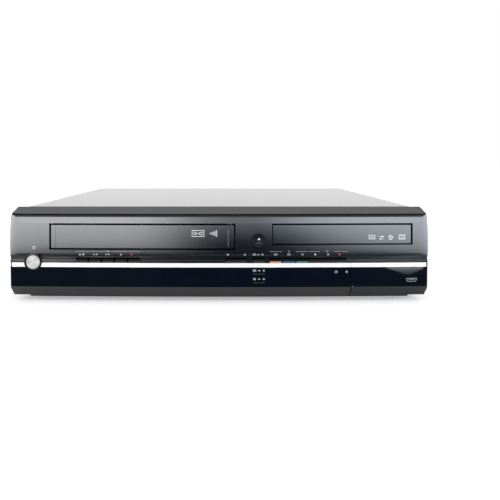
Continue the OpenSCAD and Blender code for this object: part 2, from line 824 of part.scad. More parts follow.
// Section of the folded cover: flat top, rounded shoulders, straight sides
cover_bottom = foot_h + 1.2;
shoulder = 4;
module cover_section(half, top, r) {
  difference() {
    translate([-half, cover_bottom]) square([2 * half, top - cover_bottom]);
    for (s = [-1, 1])
      scale([s, 1])
        difference() {
          translate([half - r, top - r]) square([r + 1, r + 1]);
          translate([half - r, top - r]) circle(r = r);
        }
  }
}

vent_z = 58;
module top_cover() {
  y0 = fascia_d + 0.4;
  inner_half = cover_half - cover_t;
  from_front() color(dark_metal)
    difference() {
      along_y([y0, body_d])
        difference() {
          cover_section(cover_half, cover_z, shoulder);
          translate([0, -edge]) cover_section(inner_half, cover_z - cover_t + edge,
            shoulder - cover_t);
        }
      // side vents
      for (s = [-1, 1], i = [0:11])
        translate([s * cover_half, 190 + 9 * i, vent_z]) rotate([90, 0, 90])
          translate([0, 0, -3]) linear_extrude(height = 6)
            rotate([0, 0, 90]) slot_outline(22, 3);
      for (p = cover_screw_yz)
        rod_x([-cover_half - edge, cover_half + edge], p[0], p[1], 1.6);
    }
}

// The cover's fixings: two through each side into the pan, three into the rear panel
cover_screw_yz = [[70, 17], [300, 17]];
rear_screw_x = [-190, 0, 190];
rear_screw_z = rear_top - 3;
module screw() {
  rotate_extrude() polygon([[0, -0.6], [1.2, -0.6], [1.2, -1.6], [2.6, -1.5], [3.2, -0.6],
    [3.2, 0], [1.5, 0], [1.5, 4], [0, 4]]);
}

module cover_screws() {
  from_front() color(dark_metal) {
    for (p = cover_screw_yz) {
      translate([cover_half, p[0], p[1]]) rotate([0, -90, 0]) screw();
      translate([-cover_half, p[0], p[1]]) rotate([0, 90, 0]) screw();
    }
    for (x = rear_screw_x)
      translate([x, body_d - 1, rear_screw_z]) rotate([90, 0, 0]) screw();
  }
}

// Rear connectors: middle across, middle height
fan_c = [-165, 56];
fan_size = 40;
tuner_c = [-118, 32];
phono_c = [-56, 32];
hdmi_c = [-6, 20];
scart_c = [45, 34];
inlet_c = [cover_half - 26, 28];
board_z = 13;
board_t = 1.6;
board_posts = [[-196, 270], [-196, 338], [56, 270], [56, 338], [82, 280], [200, 280], [82, 338],
  [200, 338]];

module grille() {
  for (ring = [0:4], i = [0:max(0, ring * 6 - 1)])
    rotate([0, 0, 360 * i / max(1, ring * 6)]) translate([ring * 4.1, 0]) circle(r = 1.5, $fn = 24);
}

module rear_panel() {
  y = [rear_y, rear_y + pan_t];
  from_front() color(steel)
    difference() {
      union() {
        along_y(y)
          polygon([[-pan_half, foot_h], [pan_half, foot_h], [pan_half, rear_top - shoulder],
            [pan_half - shoulder, rear_top], [-pan_half + shoulder, rear_top],
            [-pan_half, rear_top - shoulder]]);
        // flange under the cover's top
        slab([-pan_half + shoulder, pan_half - shoulder], [rear_y - 8, rear_y + pan_t],
          [rear_top - pan_t, rear_top]);
      }
      translate([0, rear_y + pan_t + edge, 0]) rotate([90, 0, 0]) linear_extrude(height = 5) {
        translate(fan_c) grille();
        for (s = [-1, 1]) translate([tuner_c[0], tuner_c[1] + 9 * s]) circle(r = 6);
        translate(phono_c) square([61, 37], center = true);
        translate(hdmi_c) square([16, 7], center = true);
        translate(scart_c) square([53, 43], center = true);
        translate(inlet_c) square([22.6, 12.6], center = true);
      }
      for (x = rear_screw_x) rod_y(x, [rear_y - edge, rear_y + 3], rear_screw_z, 1.6);
      for (i = [0:13])
        translate([86 + 6 * i, rear_y + 3, 66]) rotate([90, 0, 0])
          linear_extrude(height = 6) rotate([0, 0, 90]) slot_outline(22, 3);
    }
}

module fan_frame() {
  y = [rear_y - 10.2, rear_y - 0.2];
  half = fan_size / 2;
  from_front() color(black_plastic)
    translate([fan_c[0], 0, fan_c[1]])
      union() {
        difference() {
          slab([-half, half], y, [-half, half]);
          rod_y(0, [y[0] - edge, y[1] + edge], 0, half - 1.2);
          for (sx = [-1, 1], sz = [-1, 1])
            rod_y(sx * 16, [y[0] - edge, y[1] + edge], sz * 16, 1.6);
        }
        // motor hub on three arms
        rod_y(0, [y[1] - 3, y[1]], 0, 8);
        for (a = [90, 210, 330])
          rotate([0, a, 0]) slab([0, half - 0.6], [y[1] - 2, y[1]], [-1.2, 1.2]);
        rod_y(0, [y[0] + 2.6, y[1] - 2], 0, 1.4);
      }
}

module fan_rotor() {
  blades = 7;
  depth = 6.2;
  from_front() color([0.12, 0.12, 0.13])
    translate([fan_c[0], rear_y - 9.8 + depth / 2, fan_c[1]])
      difference() {
        union() {
          rod_y(0, [-depth / 2, depth / 2], 0, 8.4);
          intersection() {
            rod_y(0, [-depth / 2, depth / 2], 0, fan_size / 2 - 2);
            for (i = [0:blades - 1])
              rotate([0, 360 * i / blades, 0])
                rotate([35, 0, 0]) translate([7, -0.4, -3.6]) cube([12, 0.9, 7.2]);
          }
        }
        rod_y(0, [-depth / 2 + 1.4, depth / 2 + edge], 0, 1.4 + pin_gap);
      }
}

// ---------------------------------------------------------------- boards and rear sockets

module main_board() {
  z = [board_z, board_z + board_t];
  chip_z = board_z + board_t - 0.1;
  from_front() color(board_green)
    union() {
      difference() {
        slab([-202, 62], [262, rear_y - 4], z);
        for (p = board_posts) rod_z(p[0], p[1], [z[0] - edge, z[1] + edge], 1.6);
      }
      mid_slab(-20, 28, [300, 328], [chip_z, chip_z + 2.4]);
      mid_slab(-20, 20, [304, 324], [chip_z, chip_z + 8]);
      mid_slab(20, 14, [306, 320], [chip_z, chip_z + 1.6]);
      mid_slab(-176, 22, [304, 318], [chip_z, chip_z + 2.2]);
      for (i = [0:5]) rod_z(-80 + 9 * i, 296, [chip_z, chip_z + 6.4], 2.5);
      // ribbon connectors
      mid_slab(-150, 30, [300, 305], [chip_z, chip_z + 6]);
      mid_slab(40, 24, [328, 333], [chip_z, chip_z + 6]);
    }
}

module power_board() {
  z = [board_z, board_z + board_t];
  top = board_z + board_t - 0.1;
  fins = 6;
  from_front() {
    color(board_green)
      difference() {
        slab([76, 206], [272, rear_y - 4], z);
        for (p = board_posts) rod_z(p[0], p[1], [z[0] - edge, z[1] + edge], 1.6);
      }
    color([0.75, 0.6, 0.2]) mid_slab(118, 30, [296, 322], [top, top + 24]);
    color([0.2, 0.2, 0.25]) {
      rod_z(152, 296, [top, top + 32], 10);
      rod_z(92, 330, [top, top + 20], 5);
      rod_z(104, 334, [top, top + 20], 5);
      rod_z(148, 334, [top, top + 12], 6);
    }
    color(steel)
      union() {
        slab([172, 202], [286, 288], [top, top + 34]);
        for (i = [0:fins - 1]) slab([173 + 5.2 * i, 174.4 + 5.2 * i], [287.9, 298], [top + 6, top + 34]);
      }
  }
}

// Metal can with the aerial input and output
module tuner_module() {
  x = tuner_c[0];
  z = tuner_c[1];
  end = body_d + socket_reach;
  from_front() color(steel)
    union() {
      mid_slab(x, 24, [rear_y - 52, rear_y - 0.2], [board_z + board_t, z + 20]);
      for (s = [-1, 1]) rod_y(x, [rear_y - 1, rear_y + 3.4], z + 9 * s, 5.6);
      // upper: socket with a centre hole; lower: plug with a pin
      difference() {
        rod_y(x, [rear_y + 3.3, end], z + 9, 4.7);
        rod_y(x, [rear_y + 4, end + edge], z + 9, 4.1);
      }
      rod_y(x, [rear_y + 3.3, end - 2], z + 9, 1.6);
      difference() {
        rod_y(x, [rear_y + 3.3, end], z - 9, 4.7);
        rod_y(x, [rear_y + 4, end + edge], z - 9, 4.1);
      }
      rod_y(x, [rear_y + 3.3, end - 0.5], z - 9, 1.1);
    }
}

// Two stacked 21-pin sockets in one moulding
module scart_shell(grow) {
  w = 42 + 2 * grow;
  h = 11 + 2 * grow;
  polygon([[-w / 2, -h / 2], [w / 2 - 4, -h / 2], [w / 2, -h / 2 + 4], [w / 2, h / 2], [-w / 2, h / 2]]);
}

module scart_sockets() {
  y1 = rear_y + 2.6;
  from_front() color(black_plastic)
    difference() {
      union() {
        mid_slab(scart_c[0], 50, [y1 - 16, rear_y - 0.3],
          [board_z + board_t, scart_c[1] + 20]);
        mid_slab(scart_c[0], 52.4, [rear_y - 0.4, y1 - 0.6], [scart_c[1] - 19, scart_c[1] + 21]);
        for (s = [-1, 1])
          translate([scart_c[0], y1, scart_c[1] + 1 + 10 * s]) rotate([90, 0, 0])
            linear_extrude(height = 4) scart_shell(1.4);
      }
      for (s = [-1, 1])
        translate([scart_c[0], y1 + edge, scart_c[1] + 1 + 10 * s]) rotate([90, 0, 0])
          linear_extrude(height = 12) scart_shell(0);
    }
}

module phono_sockets() {
  y1 = rear_y + 1.6;
  cols = 4;
  from_front() {
    color(black_plastic)
      union() {
        mid_slab(phono_c[0], 58, [y1 - 16, rear_y - 0.3], [board_z + board_t, phono_c[1] + 17.6]);
        mid_slab(phono_c[0], 60, [rear_y - 0.4, y1], [phono_c[1] - 17.6, phono_c[1] + 17.6]);
      }
    color([0.8, 0.65, 0.2])
      for (i = [0:cols - 1], s = [-1, 1])
        difference() {
          rod_y(phono_c[0] + (i - (cols - 1) / 2) * 14.4, [y1 - 0.5, y1 + 5.4],
            phono_c[1] + 8.6 * s, 4.15);
          rod_y(phono_c[0] + (i - (cols - 1) / 2) * 14.4, [y1 + 0.5, y1 + 6.4],
            phono_c[1] + 8.6 * s, 1.7);
        }
  }
}

module hdmi_socket() {
  y1 = rear_y + 1.4;
  from_front() color(steel)
    translate([hdmi_c[0], 0, hdmi_c[1]])
      union() {
        difference() {
          slab([-7.6, 7.6], [y1 - 12, y1], [-2.9, 2.9]);
          slab([-7, 7], [y1 - 9, y1 + edge], [-2.25, 2.25]);
        }
        slab([-5, 5], [y1 - 9.1, y1 - 2], [-0.6, 0.6]);
        slab([-7.6, 7.6], [y1 - 12, y1 - 6], [board_z + board_t - hdmi_c[1], -2.8]);
      }
}

// Two-pin mains inlet with a figure-of-eight socket
module power_inlet() {
  y1 = rear_y + 1.8;
  from_front() color(black_plastic)
    translate([inlet_c[0], 0, inlet_c[1]])
      union() {
        difference() {
          union() {
            slab([-11, 11], [y1 - 20, y1 - 0.5], [-6, 6]);
            slab([-12.5, 12.5], [y1 - 0.8, y1], [-7.5, 7.5]);
            slab([-11, 11], [y1 - 20, y1 - 6], [board_z + board_t - inlet_c[1], -5.9]);
          }
          rod_y(-4.3, [y1 - 15, y1 + edge], 0, 4.4);
          rod_y(4.3, [y1 - 15, y1 + edge], 0, 4.4);
          slab([-4.3, 4.3], [y1 - 15, y1 + edge], [-4.4, 4.4]);
        }
        for (s = [-1, 1]) rod_y(4.3 * s, [y1 - 15.1, y1 - 4], 0, 1.2);
      }
}

module hard_disk() {
  from_front() color([0.3, 0.31, 0.33])
    difference() {
      union() {
        slab(hdd_x, hdd_y, [hdd_z, hdd_z + 20]);
        slab([hdd_x[0] + 1, hdd_x[1] - 1], [hdd_y[0] + 3, hdd_y[1] - 1], [hdd_z + 19.9, hdd_z + 26.1]);
      }
      rod_z(disc_x, hdd_y[1] - 54, [hdd_z + 25.2, hdd_z + 27], 12);
      for (s = [-1, 1], y = [hdd_y[0] + 28.5, hdd_y[0] + 130])
        translate([disc_x + s * 50.8, y, hdd_z + 6.35]) rotate([0, -90 * s, 0])
          translate([0, 0, -edge]) cylinder(h = 6, r = 1.5);
      slab([hdd_x[0] + 10, hdd_x[0] + 80], [hdd_y[1] - 8, hdd_y[1] + edge], [hdd_z - edge, hdd_z + 8]);
    }
}

// ---------------------------------------------------------------- cassette deck

holder_y0 = 40;
holder_z = slot_bottom + 0.2;
sheet = 0.8;
holder_half = holder_w / 2;
slider_half = holder_half + sheet + 2.4;
slider_t = 1.2;
frame_half = slider_half + slider_t + 1.4;
slider_y = [holder_y0 + 20, holder_y0 + 84];
slider_pin_y = [slider_y[0] + 6, slider_y[1] - 6];
slider_pin_z = 69;
slider_z = [slider_pin_z - 18, 88];
holder_pin_y = [holder_y0 + 40, holder_y0 + 64];
holder_pin_z = holder_z + 22;
guide_pin_r = 2;
reel_y = holder_y0 + carriage_travel + 46;
drum_y = 250;
capstan_c = [deck_x + 62, drum_y - 18];
pinch_c = [deck_x + 86, drum_y - 4];
pinch_roller_c = [deck_x + 72, drum_y - 30];
deck_half = frame_half + 16;
deck_y = [46, 292];
reel_pin_r = 2;
capstan_r = 1.5;

module deck_plate() {
  from_front() color([0.6, 0.62, 0.62])
    difference() {
      union() {
        slab([deck_x - deck_half, deck_x + deck_half], deck_y, [deck_under, deck_z]);
        for (s = [-1, 1])
          translate([deck_x, 0, 0]) scale([s, 1, 1])
            slab([deck_half - 1.2, deck_half], deck_y, [deck_under - 6, deck_z]);
        // pins that the reel tables turn on
        for (s = [-1, 1])
          rod_z(deck_x + s * reel_pitch / 2, reel_y, [deck_z - 0.1, deck_z + 17], reel_pin_r);
        rod_z(pinch_c[0], pinch_c[1], [deck_z - 0.1, deck_z + 22], capstan_r);
        rod_z(capstan_c[0], capstan_c[1], [deck_z - 0.1, deck_z + 9], 5);
      }
      rod_z(capstan_c[0], capstan_c[1], [deck_under - edge, deck_z + 12], capstan_r + pin_gap);
      // stamped openings
      slab([deck_x - 16, deck_x + 16], [80, 180], [deck_under - edge, deck_z + edge]);
      for (s = [-1, 1]) {
        slab([deck_x + s * 56 - 18, deck_x + s * 56 + 18], [64, 112],
          [deck_under - edge, deck_z + edge]);
        for (y = deck_post_y) rod_z(deck_x + s * 108, y, [deck_under - edge, deck_z + edge], 1.6);
      }
      rod_z(deck_x, drum_y, [deck_under - edge, deck_z + edge], 12);
    }
}

// Places children on the head drum's tilted axis
module on_drum() {
  translate([deck_x, drum_y, deck_z]) rotate([0, drum_tilt, 0]) children();
}

drum_base = 5;       // underside of the lower drum along its axis
drum_split = 21;     // where the lower drum ends
drum_shaft_r = 3;
module lower_drum() {
  from_front() color(silver)
    union() {
      on_drum()
        difference() {
          union() {
            translate([0, 0, drum_base]) cylinder(h = drum_split - drum_base, r = drum_r);
            // lead that guides the tape's lower edge
            translate([0, 0, drum_base]) cylinder(h = 2, r = drum_r + 0.8);
          }
          translate([0, 0, drum_base + 3])
            cylinder(h = drum_split, r = drum_shaft_r + pin_gap);
        }
      difference() {
        rod_z(deck_x, drum_y, [deck_z, deck_z + drum_base + 2.5], drum_r - 9);
        on_drum() translate([0, 0, drum_base + 0.5]) cylinder(h = 20, r = drum_r);
      }
    }
}

module upper_drum() {
  z = drum_split + 0.4;
  from_front() color([0.8, 0.81, 0.83])
    on_drum()
      union() {
        translate([0, 0, drum_base + 4]) cylinder(h = z - drum_base, r = drum_shaft_r);
        difference() {
          translate([0, 0, z]) cylinder(h = 14, r = drum_r);
          // windows of the video heads
          for (a = [0:90:270])
            rotate([0, 0, a]) translate([drum_r - 2.5, -2, z - edge]) cube([4, 4, 3]);
        }
        for (a = [0:90:270])
          rotate([0, 0, a]) translate([drum_r - 3.5, -0.6, z + 0.1]) cube([3.3, 1.2, 1]);
        // rotor of the direct drive motor
        translate([0, 0, z + 13.9]) cylinder(h = 6, r = drum_r - 8);
        translate([0, 0, z + 19.8]) cylinder(h = 2, r = 5);
      }
}

module capstan_flywheel() {
  from_front() color([0.55, 0.56, 0.58])
    translate([capstan_c[0], capstan_c[1], 0])
      union() {
        difference() {
          translate([0, 0, deck_under - 10]) cylinder(h = 7, r = 22);
          translate([0, 0, deck_under - 11])
            difference() {
              cylinder(h = 5, r = 18);
              cylinder(h = 5, r = 6);
            }
        }
        translate([0, 0, deck_under - 5]) cylinder(h = 44, r = capstan_r);
      }
}

// Arm that presses its rubber roller on the capstan
module pinch_arm() {
  z = deck_z + 9.4;
  d = [pinch_roller_c[0] - pinch_c[0], pinch_roller_c[1] - pinch_c[1]];
  reach = norm(d);
  from_front() color(steel)
    translate([pinch_c[0], pinch_c[1], 0]) rotate([0, 0, atan2(d[1], d[0])])
      difference() {
        union() {
          rod_z(0, 0, [deck_z + 0.3, z + 10], 3.4);
          rod_z(reach, 0, [z, z + 2], 3.4);
          slab([0, reach], [-3, 3], [z, z + 2]);
          rod_z(reach, 0, [z + 1.9, z + 18], 1.2);
          color(black_plastic) rod_z(reach, 0, [z + 3, z + 17], 6);
        }
        rod_z(0, 0, [deck_z - 1, z + 12], capstan_r + pin_gap);
      }
}

// Reel table: flange, hub and six driving splines
module reel(x) {
  from_front() color([0.85, 0.86, 0.84])
    translate([x, reel_y, deck_z])
      difference() {
        union() {
          translate([0, 0, 1]) cylinder(h = 2.4, r = 21);
          translate([0, 0, 3.3]) cylinder(h = 3, r = 12);
          translate([0, 0, 3.3]) cylinder(h = 11, r = 5.4);
          translate([0, 0, 14.2]) cylinder(h = 2.4, r1 = 5.4, r2 = 3.4);
          for (i = [0:5])
            rotate([0, 0, 60 * i]) translate([4, -0.9, 3.3]) cube([4.2, 1.8, 9.6]);
        }
        translate([0, 0, -edge]) cylinder(h = 30, r = reel_pin_r + pin_gap);
      }
}

module supply_reel() reel(deck_x - reel_pitch / 2);
module takeup_reel() reel(deck_x + reel_pitch / 2);

// Fixed posts and heads along the tape's path
module tape_guides() {
  from_front() {
    color(steel)
      for (p = [[-70, drum_y - 22], [-46, drum_y + 12], [45, drum_y + 14]])
        translate([deck_x + p[0], p[1], deck_z])
          rotate_extrude()
            polygon([[0, 0], [5, 0], [5, 3], [2.2, 3], [2.2, 14], [4.4, 14], [4.4, 16],
              [2.8, 16.6], [2.8, 28.4], [4.4, 29], [4.4, 31], [1.6, 31.6], [0, 31.6]]);
    // erase head and sound head
    color([0.35, 0.36, 0.38]) {
      translate([deck_x - 62, drum_y + 4, deck_z]) rotate([0, 0, 30]) head_block(9);
      translate([deck_x + 60, drum_y + 10, deck_z]) rotate([0, 0, -30]) head_block(11);
    }
  }
}

module head_block(w) {
  union() {
    slab([-w / 2 - 2, w / 2 + 2], [-5, 7], [0, 2]);
    slab([-w / 2, w / 2], [1, 6], [1.9, 15]);
    slab([-w / 2, w / 2], [-2, 6], [14.9, 29]);
  }
}

// Fixed guides for the carriage: slotted side plates on the deck
frame_y = [holder_y0 + 6, slider_pin_y[1] + carriage_travel + 30];
frame_t = 1.2;
module carriage_frame() {
  slot_h = 2 * (guide_pin_r + slide_gap);
  from_front() color(steel)
    union() {
      for (s = [-1, 1])
        translate([deck_x, 0, 0]) scale([s, 1, 1]) {
          difference() {
            union() {
              slab([frame_half, frame_half + frame_t], frame_y, [deck_z, 92]);
              slab([frame_half, frame_half + 10], frame_y, [deck_z, deck_z + frame_t]);
            }
            slab([frame_half - edge, frame_half + frame_t + edge],
              [slider_pin_y[0] - slot_h / 2, slider_pin_y[1] + carriage_travel + slot_h / 2],
              [slider_pin_z - slot_h / 2, slider_pin_z + slot_h / 2]);
            // lightening holes
            for (y = [66:28:150])
              rod_x([frame_half - edge, frame_half + frame_t + edge], y, 46, 8);
            // stepped rear corner
            slab([frame_half - edge, frame_half + frame_t + edge],
              [frame_y[1] - 14, frame_y[1] + edge], [60, 80]);
          }
        }
      slab([deck_x - frame_half, deck_x + frame_half], [frame_y[1] - 12, frame_y[1]], [90.8, 92]);
    }
}

module carriage_slider() {
  slot_w = 2 * (guide_pin_r + slide_gap);
  from_front() color([0.66, 0.67, 0.7])
    union() {
      for (s = [-1, 1])
        translate([deck_x, 0, 0]) scale([s, 1, 1]) {
          difference() {
            slab([slider_half, slider_half + slider_t], slider_y, slider_z);
            for (y = holder_pin_y)
              slab([slider_half - edge, slider_half + slider_t + edge],
                [y - slot_w / 2, y + slot_w / 2],
                [holder_pin_z - holder_drop - slot_w / 2, holder_pin_z + slot_w / 2]);
          }
          for (y = slider_pin_y)
            rod_x([slider_half + slider_t - 0.1, frame_half + frame_t + 1.2], y,
              slider_pin_z, guide_pin_r);
        }
      // bridge over the holder
      slab([deck_x - slider_half - slider_t, deck_x + slider_half + slider_t],
        [slider_y[0] + 8, slider_y[1] - 12], [slider_z[1] - sheet, slider_z[1]]);
    }
}

// Sheet metal basket that carries the cassette
module cassette_holder() {
  y = [holder_y0, holder_y0 + holder_d];
  z = [holder_z - sheet, holder_z + holder_h + sheet];
  ledge = 12;
  from_front() color([0.78, 0.79, 0.8])
    union() {
      for (s = [-1, 1])
        translate([deck_x, 0, 0]) scale([s, 1, 1]) {
          slab([holder_half, holder_half + sheet], y, z);
          slab([holder_half - ledge, holder_half + sheet], y, [z[0], holder_z]);
          // stop at the inner end
          slab([holder_half - 8, holder_half + sheet], [y[1] - sheet, y[1]],
            [z[0], holder_z + 15]);
          for (p = holder_pin_y)
            rod_x([holder_half + sheet - 0.1, slider_half + slider_t + 0.6], p,
              holder_pin_z, guide_pin_r);
        }
      difference() {
        slab([deck_x - holder_half - sheet, deck_x + holder_half + sheet], y,
          [z[1] - sheet, z[1]]);
        for (x = [-60, 0, 60])
          translate([deck_x + x, y[0] + 52, z[1] - 2]) linear_extrude(height = 4)
            slot_outline(40, 24);
        // notch in the front edge, for a finger
        translate([deck_x, y[0], z[1] - 2]) cylinder(h = 4, r = 16);
      }
    }
}

// ---------------------------------------------------------------- disc drive

tray_z = 68;
tray_t = 3.5;
tray_rim = 1.5;
tray_y = [8, 168];
disc_y = 92;
disc_floor = tray_z + tray_t - 1.6;
loader_half = tray_w / 2 + 5;
loader_y = [12, 192];
loader_floor = [52, 54];
loader_top = 80;
rack_x = disc_x - 56;
gear_r = gear_teeth * gear_module / 2;
gear_c = [rack_x + gear_r, 18];
gear_z = [62.4, 66.6];
tooth_pitch = PI * gear_module;
backlash = 0.5;
window_w = 40;
traverse_y = [74, 180];
traverse_z = 58;
rail_z = traverse_z + 3.8;
rail_r = 1.2;
traverse_hinge_y = 176;
pickup_y = disc_y + 24.5;
clamp_z = 74.6;
bridge_z = [79, 80.2];

module loader_frame() {
  x = [disc_x - loader_half, disc_x + loader_half];
  wall = 2;
  from_front() color([0.2, 0.21, 0.22])
    difference() {
      union() {
        slab(x, loader_y, loader_floor);
        slab([x[0], x[0] + wall], loader_y, [loader_floor[0], loader_top]);
        slab([x[1] - wall, x[1]], loader_y, [loader_floor[0], loader_top]);
        slab(x, [loader_y[1] - wall, loader_y[1]], [loader_floor[0], loader_top]);
        // rails under and over the tray's edges
        for (s = [-1, 1])
          translate([disc_x, 0, 0]) scale([s, 1, 1]) {
            slab([tray_w / 2 - 2.5, loader_half - wall + 0.1], [loader_y[0] + 2, loader_y[1] - 20],
              [tray_z - slide_gap - 1.4, tray_z - slide_gap]);
            slab([tray_w / 2 - 1.6, loader_half - wall + 0.1], [loader_y[0] + 6, loader_y[0] + 46],
              [tray_z + tray_t + tray_rim + slide_gap, tray_z + tray_t + tray_rim + slide_gap + 1.4]);
          }
        // bridge that carries the clamp
        slab([x[0], x[1]], [disc_y - 16, disc_y + 16], bridge_z);
        // post of the tray gear
        rod_z(gear_c[0], gear_c[1], [loader_floor[1] - 0.1, gear_z[1] + 0.3], 1.5);
        // hinge posts of the traverse
        for (s = [-1, 1])
          translate([disc_x + s * 35, 0, 0])
            along_x([-1.5, 1.5])
              union() {
                pane([traverse_hinge_y - 4, traverse_hinge_y + 4],
                  [loader_floor[1] - 0.1, traverse_z + 1.5]);
                translate([traverse_hinge_y, traverse_z + 1.5]) circle(r = 4);
              }
        // legs down to the pan
        for (lx = [x[0] + 5, x[1] - 5], ly = [loader_y[0] + 45, loader_y[1] - 12])
          rod_z(lx, ly, [pan_top, loader_floor[0] + 0.1], 4);
      }
      slab([disc_x - 33, disc_x + 33], [disc_y - 22, loader_y[1] - 8],
        [loader_floor[0] - edge, loader_floor[1] + 0.01]);
      rod_z(disc_x, disc_y, [bridge_z[0] - edge, bridge_z[1] + edge], 10);
      for (s = [-1, 1])
        rod_x([disc_x + s * 35 - 2, disc_x + s * 35 + 2], traverse_hinge_y, traverse_z + 1.5,
          1.5 + pin_gap);
    }
}

// Rack teeth under the tray's left edge, pointing right
module rack_outline(y0, teeth) {
  root = -1.1 * gear_module;
  tip = 0.75 * gear_module;
  flat = tooth_pitch / 2 - backlash;
  translate([root - 3, y0]) square([3.01, teeth * tooth_pitch]);
  for (i = [0:teeth - 1])
    translate([0, y0 + (i + 0.5) * tooth_pitch])
      polygon([[root, -flat / 2 - 0.35], [tip, -flat / 2 + 0.27], [tip, flat / 2 - 0.27],
        [root, flat / 2 + 0.35]]);
}

module gear_outline() {
  root = gear_r - 1.1 * gear_module;
  tip = gear_r + 0.75 * gear_module;
  half = (tooth_pitch / 2 - backlash) / 2;
  circle(r = root);
  for (i = [0:gear_teeth - 1])
    rotate([0, 0, 360 * i / gear_teeth])
      polygon([[root - 0.4, -half - 0.3], [gear_r, -half], [tip, -half + 0.3],
        [tip, half - 0.3], [gear_r, half], [root - 0.4, half + 0.3]]);
}

module disc_tray() {
  half = tray_w / 2;
  teeth = ceil((tray_travel + 12) / tooth_pitch);
  from_front() color([0.16, 0.17, 0.18])
    difference() {
      union() {
        mid_slab(disc_x, tray_w, tray_y, [tray_z, tray_z + tray_t]);
        for (s = [-1, 1])
          translate([disc_x, 0, 0]) scale([s, 1, 1])
            slab([half - 2, half], tray_y, [tray_z, tray_z + tray_t + tray_rim]);
        mid_slab(disc_x, tray_w, [tray_y[0], tray_y[0] + 3], [tray_z, tray_z + tray_t + tray_rim]);
        // rack
        translate([rack_x, 0, gear_z[0] + 0.2])
          linear_extrude(height = tray_z - gear_z[0])
            rack_outline(rack_start, teeth);
      }
      // seats for large and small discs
      rod_z(disc_x, disc_y, [disc_floor, tray_z + 9], disc_d / 2 + 1);
      rod_z(disc_x, disc_y, [disc_floor - 0.8, tray_z + 9], 41);
      // finger cut at the front edge of the disc seat
      rod_z(disc_x, disc_y - disc_d / 2 - 4, [disc_floor, tray_z + 9], 14);
      // window for turntable and pickup
      mid_slab(disc_x, window_w, [disc_y - 22, disc_y + 64], [tray_z - edge, tray_z + 9]);
    }
}
// Placed so that a tooth of the rack stands in a gap of the gear at rest
rack_start = gear_c[1] - 2.5 * tooth_pitch;

module tray_front() {
  x = [disc_x - tray_front_w / 2, disc_x + tray_front_w / 2];
  from_front() color([0.12, 0.13, 0.14])
    union() {
      sweep(x) pane([0, 2.2], [tray_front_bottom, tray_front_top]);
      // feet that the panel is clipped to the tray with
      for (dx = [-52, 0, 52])
        mid_slab(disc_x + dx, 9, [arc_y(disc_x + dx) + 1.6, tray_y[0]], [tray_z - 1, tray_z + 4.6]);
      sweep([x[0] + 3, x[1] - 3]) pane([2, 3], [tray_front_bottom + 2, tray_front_bottom + 3.2]);
      sweep([x[0] + 3, x[1] - 3]) pane([2, 3], [tray_front_top - 3.2, tray_front_top - 2]);
    }
}

module tray_gear() {
  from_front() color([0.9, 0.9, 0.86])
    translate([gear_c[0], gear_c[1], 0])
      difference() {
        union() {
          translate([0, 0, gear_z[0]]) rotate([0, 0, 180 + 180 / gear_teeth])
            linear_extrude(height = gear_z[1] - gear_z[0]) gear_outline();
          // belt pulley under the gear
          rotate_extrude()
            polygon([[0, loader_floor[1] + 0.4], [14, loader_floor[1] + 0.4],
              [12.4, loader_floor[1] + 2], [14, loader_floor[1] + 3.6],
              [6, loader_floor[1] + 3.6], [6, gear_z[0] + 0.1], [0, gear_z[0] + 0.1]]);
        }
        translate([0, 0, loader_floor[1] - edge])
          cylinder(h = 30, r = 1.5 + pin_gap);
      }
}

module traverse_base() {
  z = [traverse_z, traverse_z + 2];
  from_front() color([0.25, 0.26, 0.28])
    difference() {
      union() {
        mid_slab(disc_x, 60, traverse_y, z);
        rod_z(disc_x, disc_y, [traverse_z - 6, traverse_z + 0.1], 13);
        rod_z(disc_x, disc_y, [z[1] - 0.1, z[1] + 1.5], 4);
        // rods that the pickup slides along
        for (s = [-1, 1]) {
          rod_y(disc_x + s * 24, [traverse_y[0] + 27, traverse_y[1] - 8], rail_z, rail_r);
          for (y = [traverse_y[0] + 26, traverse_y[1] - 10])
            mid_slab(disc_x + s * 24, 5, [y, y + 3], [z[1] - 0.1, z[1] + 3.1]);
        }
        // hinge pins
        for (s = [-1, 1])
          rod_x([disc_x + min(s * 29, s * 36), disc_x + max(s * 29, s * 36)],
            traverse_hinge_y, traverse_z + 1.5, 1.5);
      }
      slab([disc_x - 19, disc_x + 19], [disc_y + 15.5, traverse_y[1] - 12], [z[0] - edge, z[1] + edge]);
      rod_z(disc_x, disc_y, [traverse_z - 4, z[1] + 3], 1 + pin_gap);
    }
}

module turntable() {
  z = traverse_z + 4.6;
  from_front() color([0.3, 0.31, 0.33])
    translate([disc_x, disc_y, 0])
      union() {
        rod_z(0, 0, [traverse_z - 3.4, z + 0.1], 1);
        rod_z(0, 0, [z, z + 1.9], turntable_r);
        rod_z(0, 0, [z + 1.8, z + 3.6], 7.3);
        rod_z(0, 0, [z + 3.5, z + 4.6], 5.5);
      }
}

module optical_pickup() {
  z = traverse_z + 2.5;
  from_front() color([0.45, 0.46, 0.48])
    translate([disc_x, pickup_y, 0])
      difference() {
        union() {
          slab([-28, 28], [-4, 10], [z, z + 3.2]);
          slab([-15, 15], [-7.6, 12], [z, z + 3.2]);
          slab([-15, 15], [-3, 12], [traverse_z - 3, z + 0.1]);
          slab([-7, 7], [-5, 7], [z + 3.1, z + 5]);
          color([0.3, 0.35, 0.6]) rod_z(0, 0, [z + 4.9, z + 5.8], 3);
        }
        for (s = [-1, 1]) rod_y(24 * s, [-12, 14], rail_z, rail_r + pin_gap);
        rod_z(0, -24.5, [z - edge, z + 9], turntable_r + 1.4);
      }
}

